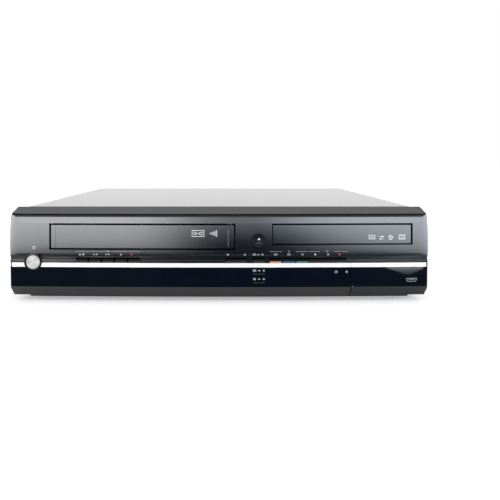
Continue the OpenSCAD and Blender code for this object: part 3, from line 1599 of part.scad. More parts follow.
module disc_clamp() {
  from_front() color([0.2, 0.2, 0.21])
    translate([disc_x, disc_y, 0])
      rotate_extrude()
        polygon([[0, clamp_z + 0.8], [6, clamp_z + 0.8], [7, clamp_z], [15, clamp_z],
          [15, clamp_z + 1.6], [9, clamp_z + 2.4], [9, bridge_z[1] + 0.3],
          [13, bridge_z[1] + 0.3], [13, bridge_z[1] + 1.5], [0, bridge_z[1] + 1.5]]);
}

bottom_chassis();
rear_panel();
top_cover();
cover_screws();
feet();
front_fascia();
top_trim();
upper_band();
silver_strip();
display_window();
flap_door();
flap_trim();
cassette_door();
power_button();
eject_stop_key();
rewind_key();
forward_key();
play_key();
tape_record_key();
program_key();
dubbing_key();
select_key_1();
select_key_2();
select_key_3();
disc_stop_key();
disc_play_key();
disc_record_key();
disc_eject_button();
front_board();
display_module();
front_sockets();
main_board();
power_board();
tuner_module();
scart_sockets();
phono_sockets();
hdmi_socket();
power_inlet();
hard_disk();
fan_frame();
fan_rotor();
deck_plate();
lower_drum();
upper_drum();
capstan_flywheel();
pinch_arm();
supply_reel();
takeup_reel();
tape_guides();
carriage_frame();
carriage_slider();
cassette_holder();
loader_frame();
disc_tray();
tray_front();
tray_gear();
traverse_base();
turntable();
optical_pickup();
disc_clamp();
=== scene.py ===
"""Looks of a hard-disk, disc and cassette recorder: finishes, printed marks, painted shade, small hardware
and studio.
"""
import bpy
import numpy as np
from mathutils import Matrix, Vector


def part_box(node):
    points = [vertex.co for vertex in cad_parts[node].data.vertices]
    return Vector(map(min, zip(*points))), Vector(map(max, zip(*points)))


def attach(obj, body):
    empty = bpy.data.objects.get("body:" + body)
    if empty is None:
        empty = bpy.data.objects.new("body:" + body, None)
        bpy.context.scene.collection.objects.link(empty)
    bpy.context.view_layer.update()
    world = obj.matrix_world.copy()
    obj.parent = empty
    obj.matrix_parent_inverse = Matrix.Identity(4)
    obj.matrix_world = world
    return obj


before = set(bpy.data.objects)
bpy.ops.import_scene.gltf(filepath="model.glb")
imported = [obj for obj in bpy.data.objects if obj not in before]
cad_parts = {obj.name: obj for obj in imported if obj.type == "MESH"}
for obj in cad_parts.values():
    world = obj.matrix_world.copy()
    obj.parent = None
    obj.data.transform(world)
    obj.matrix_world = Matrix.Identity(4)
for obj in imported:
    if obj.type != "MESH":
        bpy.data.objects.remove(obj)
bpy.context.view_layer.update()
MM = 0.001
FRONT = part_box("silver_strip")[0].y          # the crown of the bowed front, in metres
BOW = 5.780                                  # radius of that bow, in metres
HALF = 0.215                                 # half of the width of the front, in metres
EYE = (0.0041, -0.6685, 0.1494)              # the camera's place, in metres
AWAY = 490.0                                 # how far the front lies from it, in mm
FOCUS = 482.6                                # its focal length, in pixels of a picture 500 pixels wide
AXIS = (223.0, 157.8)                        # the pixel that it looks straight at


def bow(x):
    """How far the front lies behind its crown at x: R - sqrt(R^2 - x^2)."""
    return BOW - np.sqrt(BOW * BOW - np.asarray(x, float) ** 2)


# ---------------------------------------------------------------- finishes

def new_finish(name, base, rough, metal=0.0, level=0.5, coat=0.0, coat_rough=0.05):
    """A plain finish: returns its material, its node tree and its shader node."""
    finish = bpy.data.materials.new(name)
    finish.use_nodes = True
    shader = finish.node_tree.nodes["Principled BSDF"]
    shader.inputs["Base Color"].default_value = (*base, 1)
    shader.inputs["Roughness"].default_value = rough
    shader.inputs["Metallic"].default_value = metal
    shader.inputs["Specular IOR Level"].default_value = level
    shader.inputs["IOR"].default_value = 1.5
    shader.inputs["Coat Weight"].default_value = coat
    shader.inputs["Coat Roughness"].default_value = coat_rough
    return finish, finish.node_tree, shader


def places(tree):
    """The x, y and z of object space, in metres."""
    place = tree.nodes.new("ShaderNodeTexCoord")
    split = tree.nodes.new("ShaderNodeSeparateXYZ")
    tree.links.new(place.outputs["Object"], split.inputs[0])
    return split.outputs["X"], split.outputs["Y"], split.outputs["Z"]


def between(tree, value, low, high, at_low=0.0, at_high=1.0):
    """Goes from at_low to at_high as value goes from low to high, and stays there."""
    step = tree.nodes.new("ShaderNodeMapRange")
    for key, v in (("From Min", low), ("From Max", high), ("To Min", at_low), ("To Max", at_high)):
        step.inputs[key].default_value = v
    tree.links.new(value, step.inputs["Value"])
    return step.outputs["Result"]


def sums(tree, operation, a, b=None, c=None):
    """One step of arithmetic on sockets and plain numbers."""
    step = tree.nodes.new("ShaderNodeMath")
    step.operation = operation
    for k, v in enumerate((a, b, c)):
        if isinstance(v, (int, float)):
            step.inputs[k].default_value = v
        elif v is not None:
            tree.links.new(v, step.inputs[k])
    return step.outputs[0]


def field(tree, kind, scale, stretch=(1, 1, 1), **settings):
    """A pattern in object space, its scale in cells a metre, squeezed along the axes; returns its factor."""
    place = tree.nodes.new("ShaderNodeTexCoord")
    turn = tree.nodes.new("ShaderNodeMapping")
    turn.inputs["Scale"].default_value = stretch
    cells = tree.nodes.new(kind)
    cells.inputs["Scale"].default_value = scale
    for key, value in settings.items():
        cells.inputs[key].default_value = value
    tree.links.new(place.outputs["Object"], turn.inputs["Vector"])
    tree.links.new(turn.outputs["Vector"], cells.inputs["Vector"])
    return cells.outputs[0]


def ramp(tree, factor, stops, blend="EASE"):
    """A colour or a grey level from a factor, by stops of (place, colour or level)."""
    step = tree.nodes.new("ShaderNodeValToRGB")
    scale = step.color_ramp
    scale.interpolation = blend
    while len(scale.elements) < len(stops):
        scale.elements.new(0.5)
    for stop, (at, value) in zip(scale.elements, stops):
        stop.position = at
        stop.color = (*value, 1) if isinstance(value, tuple) else (value, value, value, 1)
    tree.links.new(factor, step.inputs["Fac"])
    return step.outputs["Color"]


def tint(base, gain):
    """A colour made lighter or darker by a gain."""
    return tuple(min(1.0, c * gain) for c in base)


def relief(tree, shader, factor, height):
    """Raises a surface by a pattern, by at most a tenth of a millimetre."""
    bump = tree.nodes.new("ShaderNodeBump")
    bump.inputs["Strength"].default_value = height
    bump.inputs["Distance"].default_value = 0.1 * MM
    tree.links.new(factor, bump.inputs["Height"])
    tree.links.new(bump.outputs["Normal"], shader.inputs["Normal"])


def grained(name, base, rough, grain=900, height=0.05, spread=0.12, mottle=35, **kind):
    """A moulded or painted surface: broad mottle in colour, fine grain in roughness and relief."""
    finish, tree, shader = new_finish(name, base, rough, **kind)
    broad = field(tree, "ShaderNodeTexNoise", mottle, Detail=3.0)
    tree.links.new(ramp(tree, broad, [(0.3, tint(base, 1 - spread)), (0.7, tint(base, 1 + spread))]),
                   shader.inputs["Base Color"])
    fine = field(tree, "ShaderNodeTexNoise", grain, Detail=4.0)
    tree.links.new(ramp(tree, fine, [(0.3, rough * 0.88), (0.7, min(1, rough * 1.12))]),
                   shader.inputs["Roughness"])
    if height:
        relief(tree, shader, fine, height)
    return finish


def brushed(name, base, rough, along=(4, 400, 400), spread=0.15, metal=1.0, height=0.04):
    """Metal with drawn or turned streaks: noise squeezed across the streaks."""
    finish, tree, shader = new_finish(name, base, rough, metal=metal)
    streak = field(tree, "ShaderNodeTexNoise", 6, along, Detail=6.0)
    tree.links.new(ramp(tree, streak, [(0.3, tint(base, 1 - spread)), (0.7, tint(base, 1 + spread / 2))]),
                   shader.inputs["Base Color"])
    tree.links.new(ramp(tree, streak, [(0.3, rough * 0.8), (0.7, min(1, rough * 1.25))]),
                   shader.inputs["Roughness"])
    relief(tree, shader, streak, height)
    return finish


def blended(finish, colours, low, high):
    """Repaints a finish by height, by stops of (height in metres, colour); returns the height from 0 to 1."""
    tree = finish.node_tree
    height = between(tree, places(tree)[2], low, high)
    stops = [((at - low) / (high - low), c) for at, c in colours]
    tree.links.new(ramp(tree, height, stops, "CONSTANT"), tree.nodes["Principled BSDF"].inputs["Base Color"])
    return height


INK = (0.008, 0.010, 0.014)                   # gloss plastic
DEEP_BLUE = (0.003, 0.005, 0.011)             # the window and the flap
TRIM_GREY = (0.078, 0.078, 0.077)
LIP_GREY = (0.05, 0.05, 0.052)
KEY_BLACK = (0.003, 0.003, 0.004)
PAINTED_SHADE_BLACK = (0.0015, 0.0015, 0.002)               # the dullest black, painted as shade in seams and gaps

cover_paint = grained("cover_paint", (0.030, 0.030, 0.029), 0.30, grain=1500, height=0.05, spread=0.06,
                      coat=0.85, coat_rough=0.12)
trim_plastic = grained("trim_plastic", TRIM_GREY, 0.50, grain=1200, height=0.06, level=0.12)
fascia_gloss = grained("fascia_gloss", INK, 0.14, grain=300, height=0.0, spread=0.1)
band_gloss = grained("band_gloss", INK, 0.13, grain=300, height=0.0)
door_gloss = grained("door_gloss", INK, 0.09, grain=300, height=0.0, spread=0.1)
window_gloss = grained("window_gloss", DEEP_BLUE, 0.06, grain=200, height=0.0, spread=0.1, level=0.12)
flap_gloss = grained("flap_gloss", DEEP_BLUE, 0.04, grain=200, height=0.0, level=0.15)
strip_silver = brushed("strip_silver", (0.93, 0.93, 0.94), 0.30, metal=0.15, spread=0.02, height=0.02)
key_black = grained("key_black", LIP_GREY, 0.5, height=0.02, level=0.12)


def spun_painted_sheen(name, centre, base, rough):
    """Spun metal: soft wedges of painted highlight and shade in its colour round the button's middle, by the
    angle in object space.
    """
    finish, tree, shader = new_finish(name, base, rough, level=0.1)
    place = tree.nodes.new("ShaderNodeTexCoord")
    turn = tree.nodes.new("ShaderNodeMapping")
    turn.vector_type = "TEXTURE"
    turn.inputs["Location"].default_value = centre
    turn.inputs["Rotation"].default_value = (np.pi / 2, 0, 0)
    wheel = tree.nodes.new("ShaderNodeTexGradient")
    wheel.gradient_type = "RADIAL"
    tree.links.new(place.outputs["Object"], turn.inputs["Vector"])
    tree.links.new(turn.outputs["Vector"], wheel.inputs["Vector"])
    # grey levels of the painted highlight and shade, by the angle round the middle
    painted_sheen_gains = [(0.0, 0.60), (0.1, 0.93), (0.27, 0.80), (0.38, 0.72), (0.5, 0.94), (0.63, 0.70),
              (0.75, 0.90), (0.88, 0.82), (1.0, 0.60)]
    wedges = ramp(tree, wheel.outputs["Fac"], [(at, tint(base, gain)) for at, gain in painted_sheen_gains])
    tree.links.new(wedges, shader.inputs["Base Color"])
    fine = field(tree, "ShaderNodeTexNoise", 700, Detail=3.0)
    relief(tree, shader, fine, 0.03)
    return finish


button_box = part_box("power_button")
button_centre = tuple((a + b) / 2 for a, b in zip(*button_box))
# the power button's silver carries painted highlight and shade in wedges round its middle
button_silver_painted_sheen = spun_painted_sheen("button_silver_painted_sheen", button_centre, (0.72, 0.72, 0.71), 0.34)
eject_dark = grained("eject_dark", (0.006, 0.007, 0.009), 0.5, grain=900, height=0.02, level=0.08)
rubber = grained("rubber", (0.022, 0.022, 0.023), 0.85, grain=2000, height=0.2)
zinc_steel = grained("zinc_steel", (0.55, 0.56, 0.57), 0.34, grain=260, height=0.04, spread=0.10, mottle=120,
                     metal=1.0)
screw_steel = brushed("screw_steel", (0.10, 0.10, 0.11), 0.35, along=(80, 80, 80), spread=0.2)
rear_paint = grained("rear_paint", (0.035, 0.035, 0.036), 0.45, grain=1400, height=0.08, spread=0.08)
black_plastic = grained("black_plastic", (0.018, 0.018, 0.019), 0.42, grain=1100, height=0.08)
socket_plastic = grained("socket_plastic", (0.014, 0.014, 0.015), 0.38, grain=1100, height=0.05)
white_acetal = grained("white_acetal", (0.72, 0.71, 0.67), 0.38, grain=500, height=0.03, spread=0.04)
cast_alloy = grained("cast_alloy", (0.62, 0.63, 0.64), 0.42, grain=700, height=0.15, spread=0.06, metal=0.9)
turned_alloy = brushed("turned_alloy", (0.78, 0.79, 0.80), 0.20, along=(60, 60, 600), spread=0.05)
drive_casting = grained("drive_casting", (0.42, 0.43, 0.45), 0.38, grain=900, height=0.12, metal=0.85)
fan_black = grained("fan_black", (0.012, 0.012, 0.012), 0.40, grain=900, height=0.04)
display_glass = grained("display_glass", (0.012, 0.016, 0.020), 0.08, grain=200, height=0.0, coat=0.4)
board_black = grained("board_black", (0.006, 0.007, 0.007), 0.5, grain=900, height=0.05, level=0.2)

BOARD_TOP = 14.62 * MM                        # just over the boards' upper face
# what stands on the boards: chips, capacitors, plug housings, wound tape and heat sinks
CHIP = (0.015, 0.015, 0.015)
CAN = (0.02, 0.03, 0.10)
HOUSING = (0.62, 0.60, 0.54)
TAPE = (0.62, 0.46, 0.08)
SINK = (0.45, 0.46, 0.47)


def populated(name, bands):
    """A green board with a faint grid of copper runs under its mask, from a squeezed cell field.

    The parts that stand on it take colours by their place along X: (from x in metres, colour).
    """
    finish, tree, shader = new_finish(name, (0.018, 0.11, 0.045), 0.38, coat=0.3, coat_rough=0.12)
    runs = field(tree, "ShaderNodeTexVoronoi", 140, (1, 0.25, 1), Randomness=0.7)
    mask = ramp(tree, runs, [(0.05, (0.05, 0.20, 0.09)), (0.16, (0.014, 0.09, 0.036)),
                             (0.6, (0.020, 0.12, 0.05))])
    relief(tree, shader, runs, 0.15)
    x, _, z = places(tree)
    stops = [((at + HALF) / (2 * HALF), c) for at, c in bands]
    parts = ramp(tree, between(tree, x, -HALF, HALF), stops, "CONSTANT")
    mix = tree.nodes.new("ShaderNodeMix")
    mix.data_type = "RGBA"
    tree.links.new(sums(tree, "GREATER_THAN", z, BOARD_TOP), mix.inputs["Factor"])
    tree.links.new(mask, mix.inputs["A"])
    tree.links.new(parts, mix.inputs["B"])
    tree.links.new(mix.outputs["Result"], shader.inputs["Base Color"])
    return finish


main_parts = populated("main_parts", [(-HALF, CHIP), (-0.166, HOUSING), (-0.134, CHIP), (-0.083, CAN),
                                      (-0.031, SINK), (-0.009, CHIP), (0.0275, HOUSING), (0.0525, CHIP)])
power_parts = populated("power_parts", [(-HALF, CAN), (0.1025, TAPE), (0.1335, CAN), (0.17, SINK)])

# a key's lower lip is lighter than the key, or carries a colour
KEY_FOOT = 40.0 * MM
KEY_LIP = 43.8 * MM
KEY_TOP = 48.0 * MM


def lipped(finish, colour):
    """Repaints a key: a colour up to its lip, black above."""
    blended(finish, [(KEY_FOOT, colour), (KEY_LIP, KEY_BLACK)], KEY_FOOT, KEY_TOP)
    return finish


def coloured_key(name, colour):
    """A finish for a key with a colour on its lip."""
    return lipped(new_finish(name, colour, 0.4, level=0.12)[0], colour)


lipped(key_black, LIP_GREY)
key_orange = coloured_key("key_orange", (0.79, 0.36, 0.19))
key_blue = coloured_key("key_blue", (0.045, 0.14, 0.34))
key_green = coloured_key("key_green", (0.06, 0.29, 0.19))

# heights at which the front changes its finish, and between which shade is painted
CHIN = 17.85 * MM                             # satin grey below this, on the fascia and on the flap
GAP_SHADE_FROM = 90.3 * MM                              # painted shade, dull black, from here up to the trim, where the gap under it lies in shadow
# painted shade: the trim's lower edge is dull black below this height
TRIM_SHADE_TOP = 92.05 * MM
TALLEST = 100.0 * MM                          # above all of it


def storeys(finish, *stops):
    """Changes a finish by height: stops of (height in metres, colour, roughness), each up to the next."""
    height = blended(finish, [(at, c) for at, c, _ in stops], 0.0, TALLEST)
    tree = finish.node_tree
    tree.links.new(ramp(tree, height, [(at / TALLEST, rough) for at, _, rough in stops], "CONSTANT"),
                   tree.nodes["Principled BSDF"].inputs["Roughness"])


# the satin grey chin is the front's own colour; the dull black at the top of the fascia and the band and on
# the trim's lower edge is painted shade
storeys(fascia_gloss, (0.0, (0.008, 0.009, 0.012), 0.42), (CHIN, INK, 0.09), (GAP_SHADE_FROM, PAINTED_SHADE_BLACK, 1.0))
storeys(flap_gloss, (0.0, (0.030, 0.032, 0.036), 0.42), (CHIN, DEEP_BLUE, 0.04))
storeys(band_gloss, (0.0, INK, 0.09), (GAP_SHADE_FROM, PAINTED_SHADE_BLACK, 1.0))
storeys(trim_plastic, (0.0, PAINTED_SHADE_BLACK, 1.0), (TRIM_SHADE_TOP, TRIM_GREY, 0.50))

# every node has its finish
FINISH = {
    "top_cover": cover_paint, "cover_screws": screw_steel, "top_trim": trim_plastic,
    "upper_band": band_gloss, "front_fascia": fascia_gloss, "cassette_door": door_gloss,
    "tray_front": door_gloss, "silver_strip": strip_silver, "flap_trim": strip_silver,
    "display_window": window_gloss, "flap_door": flap_gloss, "power_button": button_silver_painted_sheen,
    "disc_eject_button": eject_dark, "program_key": key_black, "feet": rubber,
    "bottom_chassis": zinc_steel, "rear_panel": rear_paint, "fan_frame": fan_black,
    "fan_rotor": fan_black, "front_board": board_black, "main_board": main_parts,
    "power_board": power_parts, "tuner_module": zinc_steel, "display_module": display_glass,
    "front_sockets": socket_plastic, "scart_sockets": socket_plastic, "phono_sockets": socket_plastic,
    "hdmi_socket": zinc_steel, "power_inlet": socket_plastic, "hard_disk": drive_casting,
    "deck_plate": zinc_steel, "lower_drum": turned_alloy, "upper_drum": turned_alloy,
    "tape_guides": turned_alloy, "carriage_frame": zinc_steel, "loader_frame": black_plastic,
    "carriage_slider": black_plastic, "cassette_holder": zinc_steel, "capstan_flywheel": turned_alloy,
    "pinch_arm": black_plastic, "supply_reel": white_acetal, "takeup_reel": white_acetal,
    "disc_tray": black_plastic, "tray_gear": white_acetal, "traverse_base": black_plastic,
    "turntable": turned_alloy, "optical_pickup": cast_alloy, "disc_clamp": white_acetal,
    "select_key_1": key_orange, "select_key_2": key_blue, "select_key_3": key_green,
}
KEYS = ["eject_stop_key", "rewind_key", "forward_key", "play_key", "tape_record_key", "dubbing_key",
        "disc_stop_key", "disc_play_key", "disc_record_key"]
FINISH.update({k: key_black for k in KEYS})
assert set(FINISH) == set(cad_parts), set(FINISH) ^ set(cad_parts)
for node, finish in FINISH.items():
    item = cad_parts[node]
    item.data.materials.clear()
    item.data.materials.append(finish)

# ---------------------------------------------------------------- printed marks

def outline(points):
    """A convex outline in metres, from points in mm."""
    return np.asarray(points, float) * MM


def bar(x0, x1, z0, z1):
    """An upright rectangle, from its sides."""
    return outline([(x0, z0), (x1, z0), (x1, z1), (x0, z1)])


def stroke(a, b, width):
    """A straight stroke of a width from a to b: the two ends each side of its line."""
    a, b = np.asarray(a, float), np.asarray(b, float)
    side = np.array([-(b - a)[1], (b - a)[0]])
    side *= width / 2 / np.hypot(*side)
    return outline([a - side, b - side, b + side, a + side])


def arrow_right(x, z, h):
    """A triangle that points right, its middle at (x, z), h high."""
    return outline([(x - h * 0.45, z - h / 2), (x + h * 0.45, z), (x - h * 0.45, z + h / 2)])


def arrow_left(x, z, h):
    """A triangle that points left."""
    return outline([(x - h * 0.45, z), (x + h * 0.45, z - h / 2), (x + h * 0.45, z + h / 2)])


def arrow_up(x, z, h):
    """A triangle that points up."""
    return outline([(x - h * 0.55, z - h / 2), (x + h * 0.55, z - h / 2), (x, z + h / 2)])


def square(x, z, h):
    """A square of side h, its middle at (x, z)."""
    return bar(x - h / 2, x + h / 2, z - h / 2, z + h / 2)


def disc(x, z, r, n=20):
    """A round spot: n points on a circle."""
    t = np.arange(n) * 2 * np.pi / n
    return outline(np.stack([x + r * np.cos(t), z + r * np.sin(t)], 1))


def ring(x, z, r, width, n=28, start=0.0, turn=1.0):
    """A ring as n short strokes round its middle line, or an arc of one: start and turn count whole turns."""
    t = (start + turn * np.arange(n + 1) / n) * 2 * np.pi
    inner = np.stack([x + (r - width / 2) * np.cos(t), z + (r - width / 2) * np.sin(t)], 1)
    outer = np.stack([x + (r + width / 2) * np.cos(t), z + (r + width / 2) * np.sin(t)], 1)
    return [outline([inner[i], outer[i], outer[i + 1], inner[i + 1]]) for i in range(n)]


def frame_of(x, z, w, h, line):
    """A rectangle drawn as four bars."""
    left, right, low, high = x - w / 2, x + w / 2, z - h / 2, z + h / 2
    across = [bar(left, right, low, low + line), bar(left, right, high - line, high)]
    upright = [bar(a, a + line, low + line, high - line) for a in (left, right - line)]
    return across + upright


def cassette_sign(x, z, h):
    """A tape cassette: its outline and two reels."""
    reels = [disc(x + side * h * 0.36, z, h * 0.2, 10) for side in (-1, 1)]
    return frame_of(x, z, h * 1.6, h, h * 0.13) + reels


def disc_sign(x, z, h):
    """A disc: a ring with its hub."""
    return ring(x, z, h * 0.43, h * 0.14, 16) + [disc(x, z, h * 0.14, 8)]


def drive_sign(x, z, h):
    """A drive: a box with a slot."""
    return frame_of(x, z, h * 1.5, h, h * 0.13) + [bar(x - h * 0.4, x + h * 0.4, z - h * 0.08, z + h * 0.08)]


def to_sign(x, z, h):
    """An arrow with a shaft, pointing right."""
    return [bar(x - h * 0.8, x, z - h * 0.09, z + h * 0.09), arrow_right(x + h * 0.3, z, h * 0.7)]


def hook_sign(x, z, rise):
    """An arrowhead of two strokes: its ends stand a rise above its middle, and its point as far below it."""
    point = (x, z - rise)
    return [stroke((x - 0.9, z + rise), point, 0.45), stroke(point, (x + 0.9, z + rise), 0.45)]


def clipped(s, z, side):
    """The part of a convex outline above (side 1) or below (side -1) a height.

    It keeps each corner a on that side, and after it the spot where the edge from a to the next corner b
    crosses the height: a + (b - a) da / (da - db), where da and db are how far a and b lie beyond it.
    """
    a, b = s, np.roll(s, -1, axis=0)
    da, db = side * (a[:, 1:] - z), side * (b[:, 1:] - z)
    crosses = da * db < 0
    crossing = a + (b - a) * da / np.where(crosses, da - db, 1.0)
    return np.stack([a, crossing], 1)[np.hstack([da >= 0, crosses])]


THINNEST = 0.02 * MM                          # no slice is narrower or lower than this


def sliced(shapes, heights):
    """Cuts convex outlines at heights in mm, so that each slice lies on one facet of the surface."""
    cuts = np.array([-1e3, *heights, 1e3]) * MM
    slices = [clipped(clipped(s, low, 1), high, -1) for s in shapes for low, high in zip(cuts, cuts[1:])]
    return [s for s in slices if len(s) > 2 and np.ptp(s, axis=0).min() > THINNEST]


def piece(name, points, faces, body, finish):
    """A mesh at the origin that rides on a body."""
    mesh = bpy.data.meshes.new(name)
    mesh.from_pydata(points.tolist(), [], [tuple(int(v) for v in f) for f in faces])
    mesh.validate()
    mesh.materials.append(finish)
    item = bpy.data.objects.new(name, mesh)
    bpy.context.scene.collection.objects.link(item)
    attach(item, body)
    return item


def prisms(name, shapes, near, far, body, finish, upright=True):
    """Closed prisms on convex outlines: a loop at depth near, one at depth far, side quads and two caps.

    Upright outlines lie in (x, z) and the depth is y; the others lie in (x, y) and the depth is -z.
    """
    points, faces, base = [], [], 0
    for s in shapes:
        s = np.asarray(s, float)
        area = np.sum(s[:, 0] * np.roll(s[:, 1], -1) - np.roll(s[:, 0], -1) * s[:, 1])
        if area < 0:
            s = s[::-1]
        n = len(s)
        for depth in (near(s[:, 0], s[:, 1]), far(s[:, 0], s[:, 1])):
            depth = depth * np.ones(n)
            points.append(np.stack([s[:, 0], depth, s[:, 1]] if upright else [s[:, 0], s[:, 1], -depth], 1))
        i = np.arange(n)
        j = (i + 1) % n
        faces.append(tuple(base + i))
        faces.append(tuple(base + n + i[::-1]))
        faces += [tuple(q) for q in np.stack([base + i, base + n + i, base + n + j, base + j], 1)]
        base += 2 * n
    return piece(name, np.concatenate(points), faces, body, finish)


def inlays(name, shapes, depth_at, body, finish, proud=0.04, sunk=0.25):
    """Marks let into the front, from proud of its surface y = FRONT + bow(x) + depth_at(z) to sunk in it."""
    def face(x, z):
        return FRONT + bow(x) + depth_at(z / MM) * MM

    def near(x, z):
        return face(x, z) - proud * MM

    def far(x, z):
        return face(x, z) + sunk * MM
    return prisms(name, shapes, near, far, body, finish)


def plates(name, shapes, near, far, body, finish, upright=True):
    """Prisms between two flat depths in mm, behind the front's crown or, lying, above the table."""
    a, b = (FRONT + near * MM, FRONT + far * MM) if upright else (-far * MM, -near * MM)
    return prisms(name, shapes, lambda x, z: a, lambda x, z: b, body, finish, upright)


def collars(name, spots, radii, depths, body, finish, n=32):
    """Flat rings: a rectangle of the radii and depths carried round each (x, z) spot, closed both ways."""
    t = (np.arange(n) * 2 * np.pi / n)[:, None]
    r = np.array([radii[0], radii[1], radii[1], radii[0]]) * MM
    y = FRONT + np.array([depths[0], depths[0], depths[1], depths[1]]) * MM + 0 * t
    i, j = (g.ravel() for g in np.meshgrid(np.arange(n), np.arange(4), indexing="ij"))
    quads = np.stack([i * 4 + j, i * 4 + (j + 1) % 4, (i + 1) % n * 4 + (j + 1) % 4, (i + 1) % n * 4 + j], 1)
    points = [np.stack([x * MM + r * np.cos(t), y, z * MM + r * np.sin(t)], 2).reshape(-1, 3)
              for x, z in spots]
    faces = [quads + 4 * n * k for k in range(len(spots))]
    return piece(name, np.concatenate(points), np.concatenate(faces), body, finish)


def along(*stops):
    """Depth of a surface behind the crown by height, in mm: straight lines between (height, depth) stops."""
    heights, depths = np.array(sorted(stops), float).T
    return lambda z: np.interp(z, heights, depths)


def seen(column, row=None, setback=0.0):
    """Place on the front, in mm, of a pixel of the camera's picture: where its ray meets the bowed front.

    At a distance d from the camera one pixel is d / FOCUS wide.
    """
    x = EYE[0] / MM + (column - AXIS[0]) * AWAY / FOCUS
    d = AWAY + float(bow(x * MM)) / MM + setback
    x = EYE[0] / MM + (column - AXIS[0]) * d / FOCUS
    return x if row is None else (x, EYE[2] / MM - (row - AXIS[1]) * d / FOCUS)


def edge_seen(column):
    """The same on the rolled edge over the keys, which lies a little deeper."""
    return seen(column, setback=0.3)


print_white = grained("print_white", (0.80, 0.80, 0.80), 0.45, grain=900, height=0.0, spread=0.03)
print_grey = grained("print_grey", (0.33, 0.34, 0.36), 0.45, grain=900, height=0.0, spread=0.04)
print_faint = grained("print_faint", (0.11, 0.12, 0.13), 0.45, grain=900, height=0.0, spread=0.04)
lamp_dark = grained("lamp_dark", (0.018, 0.018, 0.020), 0.3, grain=900, height=0.0, spread=0.04, level=0.2)
print_red = grained("print_red", (0.62, 0.035, 0.05), 0.42, grain=900, height=0.0, spread=0.05)

# depths of the front's faces behind its crown, by height
face_at = along((51.4, 0), (82.6, 0))
FACETS = (49.4, 49.7, 50.2, 50.9, 51.7)       # heights at which the rolled edge changes its slope
recess_at = along((47, 2), (49.4, 2), (49.7, 1.4), (50.2, 0.7), (50.9, 0.2), (51.7, 0))
window_at = along((17.9, 0.5), (37.7, 0.5))
chin_at = along((5.0, 11.49), (17.8, 0.48))
notch_at = along((14, 3.2), (17.8, 0.5))


def button_at(z):
    """The face of the eject button, which is flat."""
    return 0.74


# columns at which the signs over the keys stand, on one line
SIGN_Z = 50.9
EJECT, STOP, PLAY, TAPE_RECORD = 79.8, 83.3, 121.2, 131.5
REWIND, FORWARD = (93.5, 96.4), (106.3, 109.2)
PROGRAM_DOWN, PROGRAM_UP, COPY = 228, 245, 258.5
TO_TAPE, TO_DRIVE, TO_DISC = 275.5, 289, 302.5
DISC_STOP, DISC_PLAY, DISC_RECORD = 315.2, 328.5, 339.5
signs = [arrow_up(edge_seen(EJECT), SIGN_Z, 1.9), square(edge_seen(STOP), SIGN_Z, 1.7)]
signs += [arrow_left(edge_seen(column), SIGN_Z, 1.8) for column in REWIND]
signs += [arrow_right(edge_seen(column), SIGN_Z, 1.8) for column in FORWARD]
signs += [arrow_right(edge_seen(PLAY), SIGN_Z, 2.1)]
signs += hook_sign(edge_seen(PROGRAM_DOWN), SIGN_Z, 1) + hook_sign(edge_seen(PROGRAM_UP), SIGN_Z, -1)
copy_x = edge_seen(COPY)
signs += cassette_sign(copy_x - 4.2, SIGN_Z, 1.9) + to_sign(copy_x, SIGN_Z, 1.9)
signs += disc_sign(copy_x + 4.0, SIGN_Z, 2.0)
signs += cassette_sign(edge_seen(TO_TAPE), SIGN_Z, 1.9) + drive_sign(edge_seen(TO_DRIVE), SIGN_Z, 1.9)
signs += disc_sign(edge_seen(TO_DISC), SIGN_Z, 2.1)
signs += [square(edge_seen(DISC_STOP), SIGN_Z, 1.8), arrow_right(edge_seen(DISC_PLAY), SIGN_Z, 2.1)]
inlays("key_signs", sliced(signs, FACETS), recess_at, "cabinet", print_white, sunk=0.3)
dots = [disc(edge_seen(column), SIGN_Z, 1.15) for column in (TAPE_RECORD, DISC_RECORD)]
inlays("record_signs", sliced(dots, FACETS), recess_at, "cabinet", print_red, sunk=0.3)

# lines over groups of keys, from one column to another, and a small sign on three of them
GROUPS = ((75.5, 105), (110.4, 140.4), (269.5, 281.8), (296.2, 307.3), (308.9, 320), (334, 347.8))
TAPE_GROUP, DISC_GROUP, DRIVE_GROUP = 107.7, 289, 327
GROUP_Z = 54.0
lines = [bar(seen(left), seen(right), GROUP_Z, GROUP_Z + 0.3) for left, right in GROUPS]
inlays("group_lines", lines, face_at, "cabinet", print_grey)
heads = cassette_sign(seen(TAPE_GROUP), GROUP_Z + 0.2, 1.7) + disc_sign(seen(DISC_GROUP), GROUP_Z + 0.3, 1.8)
heads += drive_sign(seen(DRIVE_GROUP), GROUP_Z + 0.3, 1.7)
inlays("group_signs", heads, face_at, "cabinet", print_grey)

# standby sign above the power button: an open ring and a stroke
STANDBY = (34, 247.5)
x, z = seen(*STANDBY)
inlays("standby_sign", ring(x, z, 1.3, 0.35, 24, 0.33, 0.84) + [bar(x - 0.18, x + 0.18, z + 0.3, z + 1.9)],
       face_at, "cabinet", print_white)

# cassette door: a cassette, a wedge of five bars and an upright line near each end
line_left, line_right = bar(-166.9, -166.4, 58.8, 78.6), bar(9.2, 9.7, 58.8, 77.4)
inlays("door_line_left", [line_left], face_at, "cassette_flap", black_plastic)
inlays("door_line_right", [line_right], face_at, "cassette_flap", print_faint)
TAPE_SIGN, WAVE_SIGN = (198, 233.5), (214, 233.5)
x, z = seen(*TAPE_SIGN)
tape = frame_of(x, z, 12.5, 6.6, 0.5) + ring(x - 3, z, 1.4, 0.5) + ring(x + 3, z, 1.4, 0.5)
tape += [bar(x - 1.2, x + 1.2, z - 0.25, z + 0.25)]
x, z = seen(*WAVE_SIGN)
for k in range(5):
    left, tall = x - 4 + 1.6 * k, (1 + 0.9 * k) / 1.4
    tape.append(bar(left, left + 0.6, z - tall, z + tall))
inlays("door_signs", tape, face_at, "cassette_flap", print_white)

